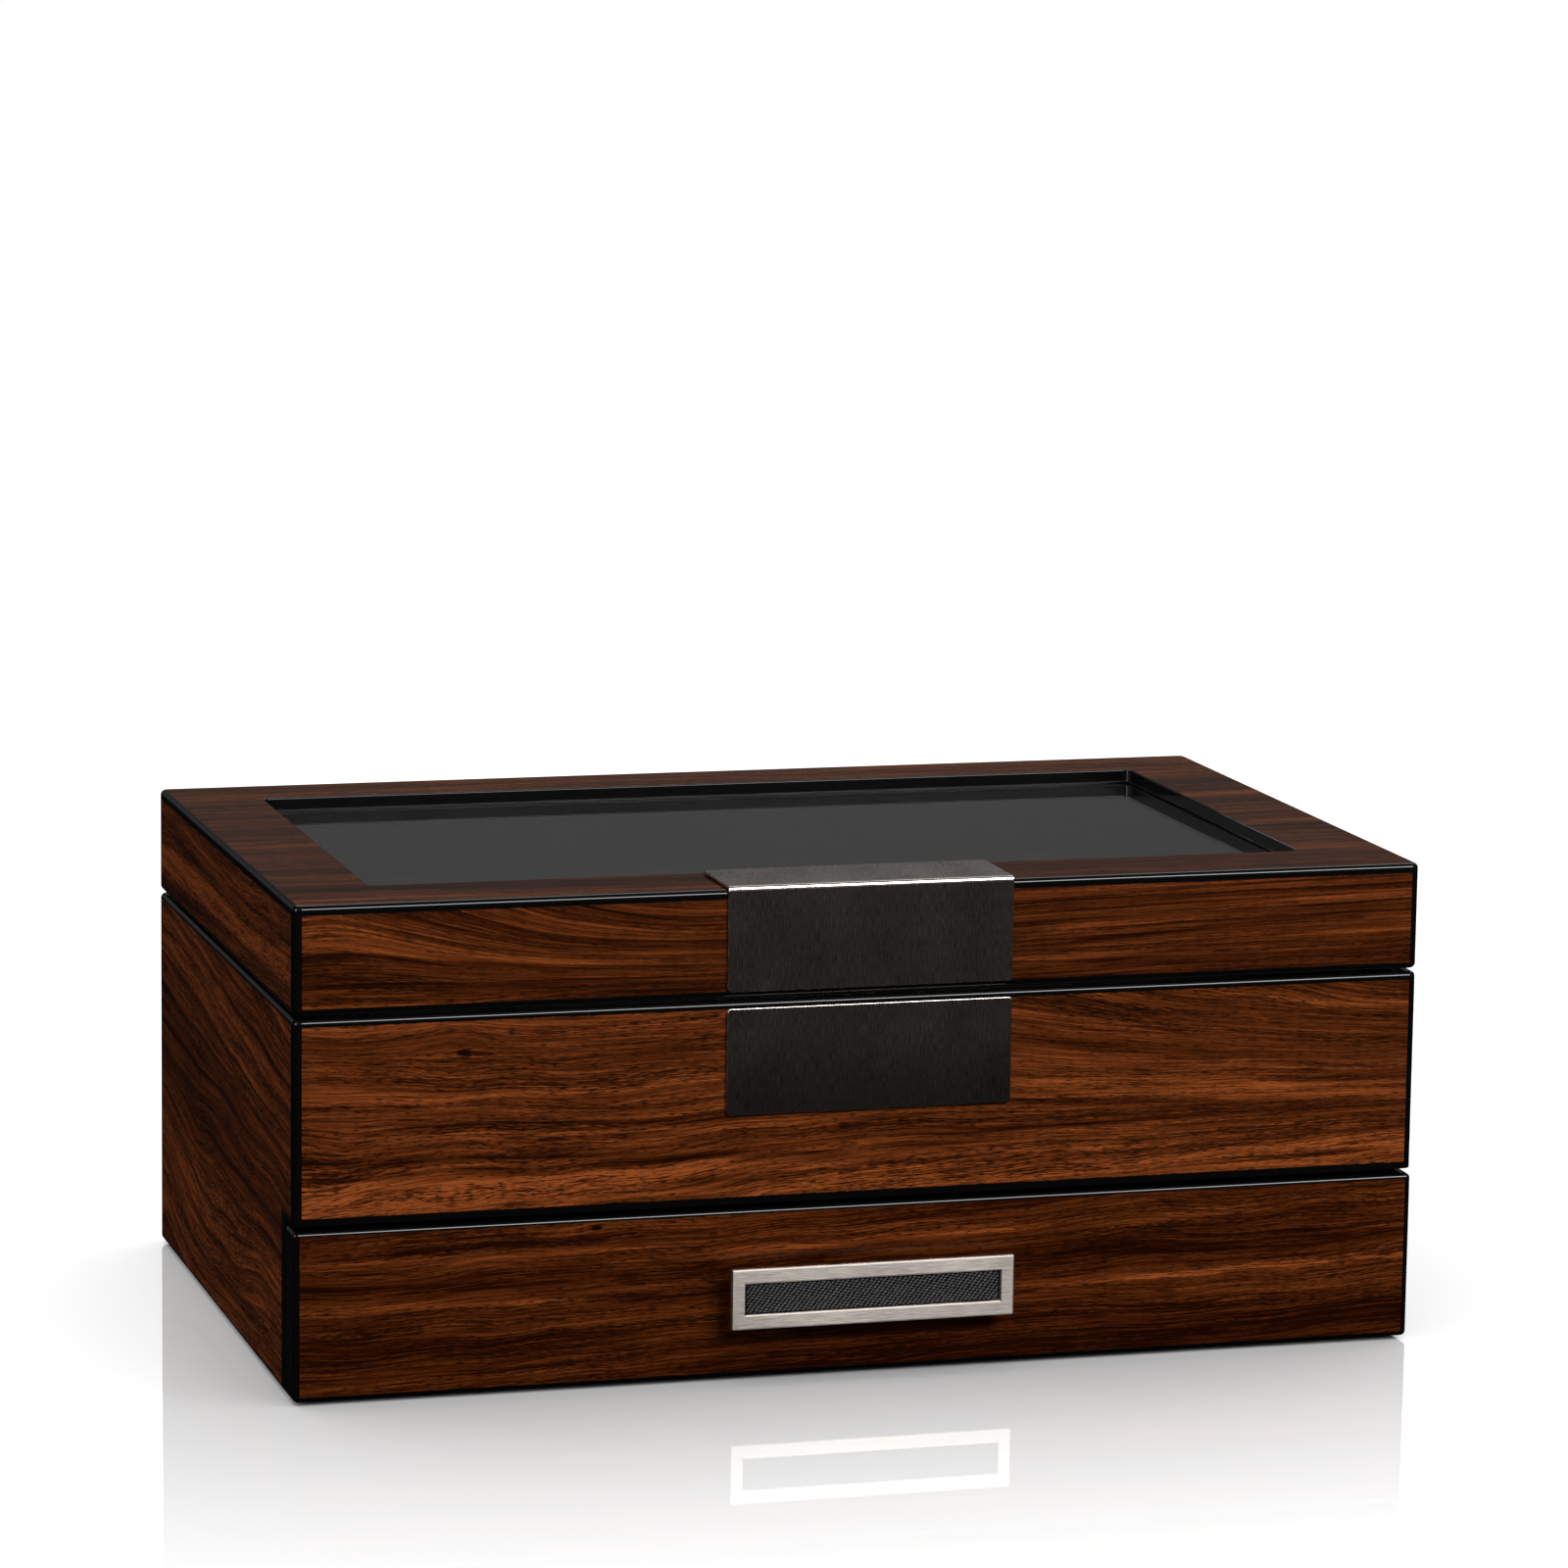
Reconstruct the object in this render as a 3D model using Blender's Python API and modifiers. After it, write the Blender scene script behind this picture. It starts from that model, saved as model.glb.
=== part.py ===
"""Watch box with a glass lid and a drawer: a veneered case, a hinged lid and ten padded cushions."""

import bpy
import bmesh
from math import cos, pi, radians, sin
from mathutils import Matrix, Vector

MM = 0.001
TINY = 1e-6

# Driving dimensions: the veneered block without its handle, plates and hinge barrels.
WIDTH = 340 * MM
DEPTH = 207 * MM
HEIGHT = 145 * MM
WALL = 12 * MM  # thickness of the case walls, the lid's rim and the drawer front
FIT = 0.3 * MM  # gap between pieces that touch
CORNER_ROUND = 2.5 * MM
ARRIS_ROUND = 1.5 * MM
EDGE_BREAK = 0.5 * MM

# Heights above the floor.
CARCASS_BOTTOM = 1.0 * MM
DRAWER_FRONT_TOP = 50.9 * MM
FRONT_PANEL_BOTTOM = 52.5 * MM
DECK_BOTTOM = 53.0 * MM
CASE_TOP = 112.3 * MM
LID_BOTTOM = 113.3 * MM

# Handle: a steel frame with a leather inlay, on two posts.
HANDLE_REACH = 8.5 * MM
HANDLE_WIDTH = 86 * MM
HANDLE_HEIGHT = 18 * MM
HANDLE_THICK = 3.0 * MM
HANDLE_CENTRE_Z = 26 * MM
HANDLE_BAR = 4.5 * MM
HANDLE_RECESS_DEEP = 1.8 * MM
INLAY_THICK = 1.0 * MM
POST_RADIUS = 3.2 * MM
POST_SPAN = 66 * MM
HANDLE_SCREW_RADIUS = 1.5 * MM
HANDLE_SCREW_HEAD = 3.4 * MM
HANDLE_SCREW_HEAD_TALL = 2.0 * MM

# Hinges: two butt hinges whose barrels stand behind the back.
HINGE_X = 105 * MM
LEAF_LONG = 30 * MM
LEAF_WIDE = 9 * MM
LEAF_THICK = 1.1 * MM
KNUCKLE_RADIUS = 1.6 * MM
LID_KNUCKLE_LONG = 10 * MM
BORE_RADIUS = 0.9 * MM
PIN_RADIUS = 0.8 * MM
AXIS_BEHIND = KNUCKLE_RADIUS + FIT
LEAF_SCREW_SPAN = 18 * MM
LEAF_SCREW_IN = 4.8 * MM
SCREW_RADIUS = 1.0 * MM
SCREW_HEAD = 1.9 * MM
SCREW_LONG = 8 * MM

# The box with handle and hinge barrels is centred on y = 0; the front faces -Y.
HINGE_REACH = AXIS_BEHIND + KNUCKLE_RADIUS
FRONT = (HANDLE_REACH - HINGE_REACH - DEPTH) / 2
BACK = FRONT + DEPTH
SIDE = WIDTH / 2
AXIS_Y = BACK + AXIS_BEHIND
AXIS_Z = (CASE_TOP + LID_BOTTOM) / 2

# Lid: window, glass and the strips that hold it.
CEILING = HEIGHT - 10 * MM
WINDOW_SIDE = 28 * MM
WINDOW_FRONT = 28.5 * MM
WINDOW_BACK = 25 * MM
WINDOW_ROUND = 1.8 * MM
REBATE = 6.5 * MM
GLASS_TOP = HEIGHT - 4.5 * MM
GLASS_THICK = 3.0 * MM
STRIP_TALL = 4.7 * MM

# Steel plates on the front.
PLATE_WIDTH = 86 * MM
PLATE_THICK = 0.8 * MM
PLATE_CORNER = 1.0 * MM
PLATE_BEND = 0.6 * MM
PLATE_BREAK = 0.15 * MM
LID_PLATE_BOTTOM = 115.2 * MM
LID_PLATE_BACK = 27 * MM
CASE_PLATE_BOTTOM = 79 * MM
CASE_PLATE_TOP = 110.3 * MM

# Inside the case.
DECK_THICK = 5 * MM
DECK_TOP = DECK_BOTTOM + DECK_THICK
BASE_THICK = 4 * MM
LINING_THICK = 2.5 * MM
LINING_BELOW_RIM = 1.8 * MM
DIVIDER_THICK = 4 * MM
DIVIDER_TALL = 36 * MM
COLUMNS = 5
ROWS = 2
CUSHION_WIDE = 54 * MM
CUSHION_DEEP = 80 * MM
CUSHION_TALL = 44 * MM
CUSHION_CROWN = 15 * MM

# Drawer box behind the drawer front, and the stop that holds it in.
DRAWER_SIDE_GAP = 0.6 * MM
DRAWER_WALL = 7 * MM
DRAWER_SIDE_TOP = 45.5 * MM
DRAWER_BACK_TOP = 48.5 * MM
DRAWER_REAR = 190 * MM
DRAWER_LIFT = 0.4 * MM
DRAWER_FLOOR_LIFT = 1.5 * MM
DRAWER_FLOOR_THICK = 3 * MM
DRAWER_DIVIDER_TALL = 30 * MM
STOP_FRONT = 30 * MM
STOP_DEEP = 8 * MM
STOP_WIDE = 280 * MM
STOP_BOTTOM = 46.6 * MM
FRONT_SHUT_GAP = 0.5 * MM

# Feet and lid bumpers.
FOOT_RADIUS = 8 * MM
FOOT_TALL = 2.2 * MM
FOOT_X = 140 * MM
FOOT_IN = 30 * MM
BUMPER_RADIUS = 3 * MM
BUMPER_X = 150 * MM
BUMPER_TALL = 1.0 * MM
BUMPER_SUNK = 0.2 * MM

FINISHES = {  # colour, roughness, metallic
    "walnut": ((0.13, 0.048, 0.016), 0.15, 0.0),
    "glass": ((0.55, 0.57, 0.58), 0.03, 0.0),
    "steel": ((0.46, 0.45, 0.44), 0.3, 1.0),
    "leather": ((0.012, 0.012, 0.014), 0.5, 0.0),
    "velour": ((0.05, 0.05, 0.052), 0.9, 0.0),
    "board": ((0.018, 0.018, 0.019), 0.7, 0.0),
    "hinge": ((0.5, 0.49, 0.47), 0.3, 1.0),
    "felt": ((0.02, 0.02, 0.02), 0.95, 0.0),
    "bumper": ((0.6, 0.6, 0.6), 0.4, 0.0),
}


def clear_scene():
    for thing in list(bpy.data.objects):
        bpy.data.objects.remove(thing, do_unlink=True)


def make_material(name):
    colour, roughness, metallic = FINISHES[name]
    finish = bpy.data.materials.new(name)
    finish.use_nodes = True
    shader = finish.node_tree.nodes["Principled BSDF"]
    shader.inputs["Base Color"].default_value = (*colour, 1.0)
    shader.inputs["Roughness"].default_value = roughness
    shader.inputs["Metallic"].default_value = metallic
    return finish


def make_collection(name):
    group = bpy.data.collections.new(name)
    bpy.context.scene.collection.children.link(group)
    return group


def make_empty(name, where):
    empty = bpy.data.objects.new(name, None)
    empty.location = where
    PARTS.objects.link(empty)
    return empty


def add(name, mesh, finish, centre, parent, turn=None):
    """A part at a place in the world, carried by the empty of its body."""
    mesh.materials.append(make_material_once(finish))
    part = bpy.data.objects.new(name, mesh)
    part.location = Vector(centre) - parent.location
    part.parent = parent
    if turn:
        part.rotation_euler = turn
    PARTS.objects.link(part)
    return part


def make_material_once(name):
    return bpy.data.materials.get(name) or make_material(name)


def to_mesh(name, bm):
    mesh = bpy.data.meshes.new(name)
    bm.to_mesh(mesh)
    bm.free()
    mesh.shade_smooth()
    mesh.set_sharp_from_angle(angle=radians(35))
    return mesh


def round_edges(bm, edges, radius, segments):
    bmesh.ops.bevel(bm, geom=edges, offset=radius, segments=segments, profile=0.5, affect="EDGES")


def block_mesh(name, size, corner=0.0, arris=0.0):
    """A box about its own centre, its upright corners rounded, and the arrises of its top and underside."""
    bm = bmesh.new()
    bmesh.ops.create_cube(bm, size=1.0)
    bmesh.ops.scale(bm, vec=size, verts=bm.verts)
    half = size[2] / 2
    if corner and corner == arris:
        round_edges(bm, bm.edges[:], corner, 3)
        return to_mesh(name, bm)
    if corner:
        uprights = [e for e in bm.edges if abs(e.verts[0].co.z - e.verts[1].co.z) > half]
        round_edges(bm, uprights, corner, 4)
    if arris:
        level = [e for e in bm.edges if all(abs(abs(v.co.z) - half) < TINY for v in e.verts)]
        level = [e for e in level if abs(e.verts[0].co.z - e.verts[1].co.z) < TINY]
        round_edges(bm, level, arris, 3)
    return to_mesh(name, bm)


def span(low, high):
    low, high = Vector(low), Vector(high)
    return high - low, (low + high) / 2


def block(name, low, high, finish, parent, corner=0.0, arris=0.0):
    size, centre = span(low, high)
    return add(name, block_mesh(name, size, corner, arris), finish, centre, parent)


def rod_mesh(name, radius, length, sides, radius_2=None):
    bm = bmesh.new()
    end = radius if radius_2 is None else radius_2
    bmesh.ops.create_cone(bm, cap_ends=True, segments=sides, radius1=radius, radius2=end, depth=length)
    return to_mesh(name, bm)


def turned_mesh(name, profile):
    """An open outline of (radius, height) points, from the top down, for a Screw modifier."""
    bm = bmesh.new()
    points = [bm.verts.new((radius, 0.0, height)) for radius, height in profile]
    for first, second in zip(points, points[1:]):
        bm.edges.new((first, second))
    return to_mesh(name, bm)


def turn_profile(part, steps):
    screw = part.modifiers.new("turn", "SCREW")
    screw.steps = screw.render_steps = steps
    screw.use_merge_vertices = True
    screw.merge_threshold = 0.00005


def bevel(part, width, segments, angle):
    edge = part.modifiers.new("edge", "BEVEL")
    edge.width = width
    edge.segments = segments
    edge.limit_method = "ANGLE"
    edge.angle_limit = radians(angle)


def combine(part, tool, operation):
    step = part.modifiers.new(f"{operation.lower()}_{tool.name}", "BOOLEAN")
    step.operation = operation
    step.object = tool


def tool_object(name, mesh, centre, turn=None):
    tool = bpy.data.objects.new(name, mesh)
    tool.location = centre
    if turn:
        tool.rotation_euler = turn
    tool.hide_render = True
    tool.display_type = "WIRE"
    CUTTERS.objects.link(tool)
    return tool


def cut_block(part, name, low, high, corner=0.0):
    size, centre = span(low, high)
    combine(part, tool_object(name, block_mesh(name, size, corner), centre), "DIFFERENCE")


def cut_rod(part, name, radius, length, centre, turn=None, sides=12, radius_2=None):
    mesh = rod_mesh(name, radius, length, sides, radius_2)
    combine(part, tool_object(name, mesh, centre, turn), "DIFFERENCE")


def join_block(part, name, low, high):
    size, centre = span(low, high)
    combine(part, tool_object(name, block_mesh(name, size), centre), "UNION")


def join_rod(part, name, radius, length, centre, turn, sides=16):
    combine(part, tool_object(name, rod_mesh(name, radius, length, sides), centre, turn), "UNION")


ALONG_X = (0.0, pi / 2, 0.0)
ALONG_Y = (pi / 2, 0.0, 0.0)
UPSIDE_DOWN = (pi, 0.0, 0.0)
OVER = 2 * MM  # how far a cutter runs past the face that it cuts


# ---------------------------------------------------------------- case

def hinge_screw_places():
    """Name, x and y of the two screws of each hinge."""
    for side, sign in (("left", -1), ("right", 1)):
        for end, way in (("outer", sign), ("inner", -sign)):
            x = sign * HINGE_X + way * LEAF_SCREW_SPAN / 2
            yield f"{side}_{end}", x, BACK - LEAF_SCREW_IN


def cut_mortises(part, name, level, up):
    """Room for the hinge leaves in the back wall, and the pilot holes of their screws."""
    deep = LEAF_THICK + FIT
    inner, outer = sorted((level + up * deep, level - up * OVER))
    for side in (-1, 1):
        x = side * HINGE_X
        low = (x - LEAF_LONG / 2 - FIT, BACK - LEAF_WIDE - FIT, inner)
        high = (x + LEAF_LONG / 2 + FIT, BACK + OVER, outer)
        cut_block(part, f"{name}_mortise_{side}", low, high)
    pilot = SCREW_LONG + FIT
    for place, x, y in hinge_screw_places():
        cut_rod(part, f"{name}_pilot_{place}", SCREW_RADIUS + FIT, pilot, (x, y, level + up * pilot / 2), sides=8)


def make_carcass():
    carcass = block("case_carcass", (-SIDE, FRONT, CARCASS_BOTTOM), (SIDE, BACK, CASE_TOP), "walnut", CASE,
                    CORNER_ROUND, ARRIS_ROUND)
    cut_block(carcass, "case_hollow", (WALL - SIDE, FRONT + WALL, -OVER), (SIDE - WALL, BACK - WALL, CASE_TOP + OVER))
    cut_block(carcass, "drawer_front_room", (-SIDE - OVER, FRONT - OVER, -OVER),
              (SIDE + OVER, FRONT + WALL + FRONT_SHUT_GAP, FRONT_PANEL_BOTTOM))
    bevel(carcass, EDGE_BREAK, 1, 60)
    cut_mortises(carcass, "case", CASE_TOP, -1)
    for side in (-1, 1):
        cut_rod(carcass, f"bumper_socket_{side}", BUMPER_RADIUS + FIT, 2 * (BUMPER_SUNK + FIT),
                (side * BUMPER_X, FRONT + WALL / 2, CASE_TOP), sides=16)


def make_boards():
    """The base that the drawer slides on, with sockets for the feet, and the deck over the drawer."""
    base = block("base_board", (WALL - SIDE + FIT, FRONT + WALL + 2 * FRONT_SHUT_GAP, CARCASS_BOTTOM),
                 (SIDE - WALL - FIT, BACK - WALL - FIT, CARCASS_BOTTOM + BASE_THICK), "board", CASE)
    for name, x, y in foot_places():
        cut_rod(base, f"socket_{name}", FOOT_RADIUS + FIT, 2 * (FOOT_TALL + FIT), (x, y, 0.0), sides=24)
    deck = block("deck_board", (WALL - SIDE + FIT, FRONT + WALL + FIT, DECK_BOTTOM),
                 (SIDE - WALL - FIT, BACK - WALL - FIT, DECK_TOP), "velour", CASE)
    join_block(deck, "drawer_stop", (-STOP_WIDE / 2, FRONT + STOP_FRONT, STOP_BOTTOM),
               (STOP_WIDE / 2, FRONT + STOP_FRONT + STOP_DEEP, DECK_BOTTOM + DECK_THICK / 2))


def foot_places():
    for side, x in (("left", -FOOT_X), ("right", FOOT_X)):
        for end, y in (("front", FRONT + FOOT_IN), ("back", BACK - FOOT_IN)):
            yield f"foot_{end}_{side}", x, y


def make_feet():
    for name, x, y in foot_places():
        foot = add(name, rod_mesh(name, FOOT_RADIUS, FOOT_TALL, 24), "felt", (x, y, FOOT_TALL / 2), CASE)
        bevel(foot, 0.3 * MM, 1, 60)


def make_bumpers():
    for side, x in (("left", -BUMPER_X), ("right", BUMPER_X)):
        name = f"lid_bumper_{side}"
        centre = (x, FRONT + WALL / 2, CASE_TOP - BUMPER_SUNK + BUMPER_TALL / 2)
        bumper = add(name, rod_mesh(name, BUMPER_RADIUS, BUMPER_TALL, 16), "bumper", centre, CASE)
        bevel(bumper, 0.3 * MM, 1, 60)


def make_linings():
    """Four velour-covered boards on the walls of the watch compartment."""
    low, high = DECK_TOP + FIT, CASE_TOP - LINING_BELOW_RIM
    out_x, out_front, out_back = SIDE - WALL - FIT, FRONT + WALL + FIT, BACK - WALL - FIT
    in_x, in_front, in_back = out_x - LINING_THICK, out_front + LINING_THICK, out_back - LINING_THICK
    block("lining_front", (-out_x, out_front, low), (out_x, in_front, high), "velour", CASE, arris=0.8 * MM)
    block("lining_back", (-out_x, in_back, low), (out_x, out_back, high), "velour", CASE, arris=0.8 * MM)
    for side, near, far in (("left", -out_x, -in_x), ("right", in_x, out_x)):
        block(f"lining_{side}", (near, in_front + FIT, low), (far, in_back - FIT, high), "velour", CASE,
              arris=0.8 * MM)


# The clear space between the linings, and the pitch of the compartments in it.
ROOM_X = SIDE - WALL - LINING_THICK - FIT
ROOM_FRONT = FRONT + WALL + LINING_THICK + FIT
ROOM_BACK = BACK - WALL - LINING_THICK - FIT
ROOM_MID = (ROOM_FRONT + ROOM_BACK) / 2
CELL_WIDE = (2 * ROOM_X - (COLUMNS - 1) * DIVIDER_THICK) / COLUMNS
CELL_DEEP = (ROOM_BACK - ROOM_FRONT - DIVIDER_THICK) / ROWS
CELL_FLOOR = DECK_TOP + FIT
DIVIDER_TOP = CELL_FLOOR + DIVIDER_TALL


def cross_divider_x(index):
    return -ROOM_X + (index + 1) * (CELL_WIDE + DIVIDER_THICK) - DIVIDER_THICK / 2


def make_dividers():
    """One long divider and four cross dividers, half lapped where they cross."""
    half = DIVIDER_THICK / 2
    mid_z = (CELL_FLOOR + DIVIDER_TOP) / 2
    long_low = (FIT - ROOM_X, ROOM_MID - half, CELL_FLOOR)
    long_divider = block("divider_long", long_low, (ROOM_X - FIT, ROOM_MID + half, DIVIDER_TOP), "velour", CASE,
                         arris=0.8 * MM)
    for index in range(COLUMNS - 1):
        x = cross_divider_x(index)
        slot_low = (x - half - FIT, ROOM_MID - half - OVER, CELL_FLOOR - OVER)
        cut_block(long_divider, f"long_lap_{index}", slot_low, (x + half + FIT, ROOM_MID + half + OVER, mid_z + FIT))
        name = f"divider_cross_{index + 1}"
        cross = block(name, (x - half, ROOM_FRONT + FIT, CELL_FLOOR), (x + half, ROOM_BACK - FIT, DIVIDER_TOP),
                      "velour", CASE, arris=0.8 * MM)
        cut_block(cross, f"cross_lap_{index}", (x - half - OVER, ROOM_MID - half - FIT, mid_z - FIT),
                  (x + half + OVER, ROOM_MID + half + FIT, DIVIDER_TOP + OVER))


def cushion_mesh(name):
    """A pillow from a coarse cage: a box with wide chamfers that a subdivision rounds off."""
    bm = bmesh.new()
    bmesh.ops.create_cube(bm, size=1.0)
    bmesh.ops.scale(bm, vec=(CUSHION_WIDE, CUSHION_DEEP, CUSHION_TALL), verts=bm.verts)
    round_edges(bm, bm.edges[:], CUSHION_CROWN, 1)
    return to_mesh(name, bm)


def make_cushions():
    for row in range(ROWS):
        for column in range(COLUMNS):
            name = f"cushion_{'front' if row == 0 else 'back'}_{column + 1}"
            x = -ROOM_X + CELL_WIDE / 2 + column * (CELL_WIDE + DIVIDER_THICK)
            y = ROOM_FRONT + CELL_DEEP / 2 + row * (CELL_DEEP + DIVIDER_THICK)
            centre = (x, y, CELL_FLOOR + CUSHION_TALL / 2)
            cushion = add(name, cushion_mesh(name), "velour", centre, CASE)
            soft = cushion.modifiers.new("soft", "SUBSURF")
            soft.levels = soft.render_levels = 1


# ---------------------------------------------------------------- hinges

def make_leaf(name, x, up, knuckles, parent):
    """A hinge leaf let into the wood, its knuckles rolled round the pin; up is 1 in the lid, -1 in the case."""
    face = LID_BOTTOM if up > 0 else CASE_TOP
    low_z, high_z = sorted((face, face + up * LEAF_THICK))
    leaf = block(name, (x - LEAF_LONG / 2, BACK - LEAF_WIDE, low_z), (x + LEAF_LONG / 2, BACK, high_z), "hinge", parent)
    bore_long = LEAF_LONG + 2 * OVER
    for number, (start, end) in enumerate(knuckles):
        join_block(leaf, f"{name}_tab_{number}", (x + start, BACK - OVER, low_z), (x + end, AXIS_Y, high_z))
        join_rod(leaf, f"{name}_knuckle_{number}", KNUCKLE_RADIUS, end - start,
                 (x + (start + end) / 2, AXIS_Y, AXIS_Z), ALONG_X)
    cut_rod(leaf, f"{name}_bore", BORE_RADIUS, bore_long, (x, AXIS_Y, AXIS_Z), ALONG_X)
    for way in (-1, 1):
        where = Vector((x + way * LEAF_SCREW_SPAN / 2, BACK - LEAF_SCREW_IN, 0.0))
        where.z = face + up * LEAF_THICK / 2
        small, wide = SCREW_RADIUS + FIT, SCREW_HEAD + FIT
        ends = (wide, small) if up > 0 else (small, wide)
        cut_rod(leaf, f"{name}_hole_{way}", ends[0], LEAF_THICK + 2 * TINY, where, radius_2=ends[1])
    return leaf


def screw_profile():
    """Countersunk head at z = 0, pointed tip below."""
    tip = SCREW_LONG - 2 * MM
    return [(0.0, 0.0), (SCREW_HEAD, 0.0), (SCREW_RADIUS, -(SCREW_HEAD - SCREW_RADIUS)), (SCREW_RADIUS, -tip),
            (0.0, -SCREW_LONG + FIT)]


def cut_drive(screw, name, where, across, deep, turn=None):
    """A crossed recess in a screw's head."""
    for number, angle in enumerate((0.0, pi / 2)):
        mesh = block_mesh(f"{name}_{number}", (across, across / 5, 2 * deep))
        mesh.transform(Matrix.Rotation(angle, 4, "Z"))
        combine(screw, tool_object(f"{name}_{number}", mesh, where, turn), "DIFFERENCE")


def make_hinge_screws(body, level, up, parent):
    for place, x, y in hinge_screw_places():
        name = f"{body}_hinge_screw_{place}"
        turn = UPSIDE_DOWN if up > 0 else None
        where = (x, y, level)
        screw = add(name, turned_mesh(name, screw_profile()), "hinge", where, parent, turn)
        turn_profile(screw, 12)
        cut_drive(screw, f"{name}_drive", where, 2.4 * MM, 0.5 * MM)


def make_hinges():
    half = LEAF_LONG / 2
    middle = LID_KNUCKLE_LONG / 2
    for side, x in (("left", -HINGE_X), ("right", HINGE_X)):
        outer = [(-half, -middle - FIT), (middle + FIT, half)]
        make_leaf(f"hinge_{side}_case_leaf", x, -1, outer, CASE)
        make_leaf(f"hinge_{side}_lid_leaf", x, 1, [(-middle, middle)], LID)
        name = f"hinge_{side}_pin"
        pin = add(name, rod_mesh(name, PIN_RADIUS, LEAF_LONG, 12), "hinge", (x, AXIS_Y, AXIS_Z), CASE, ALONG_X)
        bevel(pin, 0.2 * MM, 1, 60)
    make_hinge_screws("case", CASE_TOP, -1, CASE)
    make_hinge_screws("lid", LID_BOTTOM, 1, LID)


# ---------------------------------------------------------------- lid

WINDOW_LOW = (WINDOW_SIDE - SIDE, FRONT + WINDOW_FRONT)
WINDOW_HIGH = (SIDE - WINDOW_SIDE, BACK - WINDOW_BACK)


def around_window(out, low_z, high_z):
    """The box round the window that reaches out past its edges."""
    low = (WINDOW_LOW[0] - out, WINDOW_LOW[1] - out, low_z)
    high = (WINDOW_HIGH[0] + out, WINDOW_HIGH[1] + out, high_z)
    return low, high


def make_lid_frame():
    frame = block("lid_frame", (-SIDE, FRONT, LID_BOTTOM), (SIDE, BACK, HEIGHT), "walnut", LID, CORNER_ROUND,
                  ARRIS_ROUND)
    cut_block(frame, "lid_hollow", (WALL - SIDE, FRONT + WALL, LID_BOTTOM - OVER), (SIDE - WALL, BACK - WALL, CEILING))
    cut_block(frame, "window", *around_window(0.0, CEILING - OVER, HEIGHT + OVER), corner=WINDOW_ROUND)
    cut_block(frame, "glass_rebate", *around_window(REBATE, CEILING - OVER, GLASS_TOP + FIT))
    bevel(frame, EDGE_BREAK, 1, 60)
    cut_mortises(frame, "lid", LID_BOTTOM, 1)


def make_glass():
    low, high = around_window(REBATE - FIT, GLASS_TOP - GLASS_THICK, GLASS_TOP)
    pane = block("glass_pane", low, high, "glass", LID)
    bevel(pane, 0.3 * MM, 1, 60)


def make_glass_strips():
    """Four black strips under the glass, flush with the window's edges."""
    high_z = GLASS_TOP - GLASS_THICK - FIT
    low_z = high_z - STRIP_TALL
    (left, front), (right, back) = WINDOW_LOW, WINDOW_HIGH
    out = REBATE - FIT
    runs = {
        "front": ((left + FIT, front - out), (right - FIT, front)),
        "back": ((left + FIT, back), (right - FIT, back + out)),
        "left": ((left - out, front - out), (left, back + out)),
        "right": ((right, front - out), (right + out, back + out)),
    }
    for side, (low, high) in runs.items():
        strip = block(f"glass_strip_{side}", (*low, low_z), (*high, high_z), "board", LID)
        bevel(strip, EDGE_BREAK, 1, 60)


def finish_plate(plate):
    """Gives a plate's open surface its thickness, outwards, and breaks its edges."""
    thick = plate.modifiers.new("thick", "SOLIDIFY")
    thick.thickness = PLATE_THICK
    thick.offset = 1.0
    bevel(plate, PLATE_BREAK, 1, 60)


def plate_mesh(name, outline):
    """A strip as wide as the plates along an outline of (y, z) points, its four corners rounded."""
    bm = bmesh.new()
    half = PLATE_WIDTH / 2
    rows = [(bm.verts.new((-half, y, z)), bm.verts.new((half, y, z))) for y, z in outline]
    for (left, right), (next_left, next_right) in zip(rows, rows[1:]):
        bm.faces.new((left, right, next_right, next_left))
    corners = [*rows[0], *rows[-1]]
    bmesh.ops.bevel(bm, geom=corners, offset=PLATE_CORNER, segments=4, profile=0.5, affect="VERTICES")
    return to_mesh(name, bm)


def make_lid_plate():
    """A bent steel plate over the lid's front edge."""
    stand = FRONT - FIT
    top = HEIGHT + FIT
    arc = [(stand + PLATE_BEND * (1 - cos(a)), top - PLATE_BEND * (1 - sin(a)))
           for a in (step * pi / 8 for step in range(5))]
    outline = [(stand, LID_PLATE_BOTTOM), *arc, (FRONT + LID_PLATE_BACK, top)]
    finish_plate(add("lid_plate", plate_mesh("lid_plate", outline), "steel", (0, 0, 0), LID))


def make_case_plate():
    outline = [(FRONT - FIT, CASE_PLATE_BOTTOM), (FRONT - FIT, CASE_PLATE_TOP)]
    finish_plate(add("case_plate", plate_mesh("case_plate", outline), "steel", (0, 0, 0), CASE))


# ---------------------------------------------------------------- drawer

BAY_FLOOR = CARCASS_BOTTOM + BASE_THICK
BOX_X = SIDE - WALL - DRAWER_SIDE_GAP
BOX_FRONT = FRONT + WALL + FIT
BOX_REAR = FRONT + DRAWER_REAR
BOX_BOTTOM = BAY_FLOOR + DRAWER_LIFT
BOX_INNER_X = BOX_X - DRAWER_WALL
BOX_FLOOR_TOP = BOX_BOTTOM + DRAWER_FLOOR_LIFT + DRAWER_FLOOR_THICK


def handle_screw_places():
    return (("left", -POST_SPAN / 2), ("right", POST_SPAN / 2))


def make_drawer_front():
    front = block("drawer_front", (-SIDE, FRONT, CARCASS_BOTTOM), (SIDE, FRONT + WALL, DRAWER_FRONT_TOP), "walnut",
                  DRAWER, ARRIS_ROUND, ARRIS_ROUND)
    for side, x in handle_screw_places():
        cut_rod(front, f"front_hole_{side}", HANDLE_SCREW_RADIUS + FIT, WALL + OVER,
                (x, FRONT + WALL / 2, HANDLE_CENTRE_Z), ALONG_Y)


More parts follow.
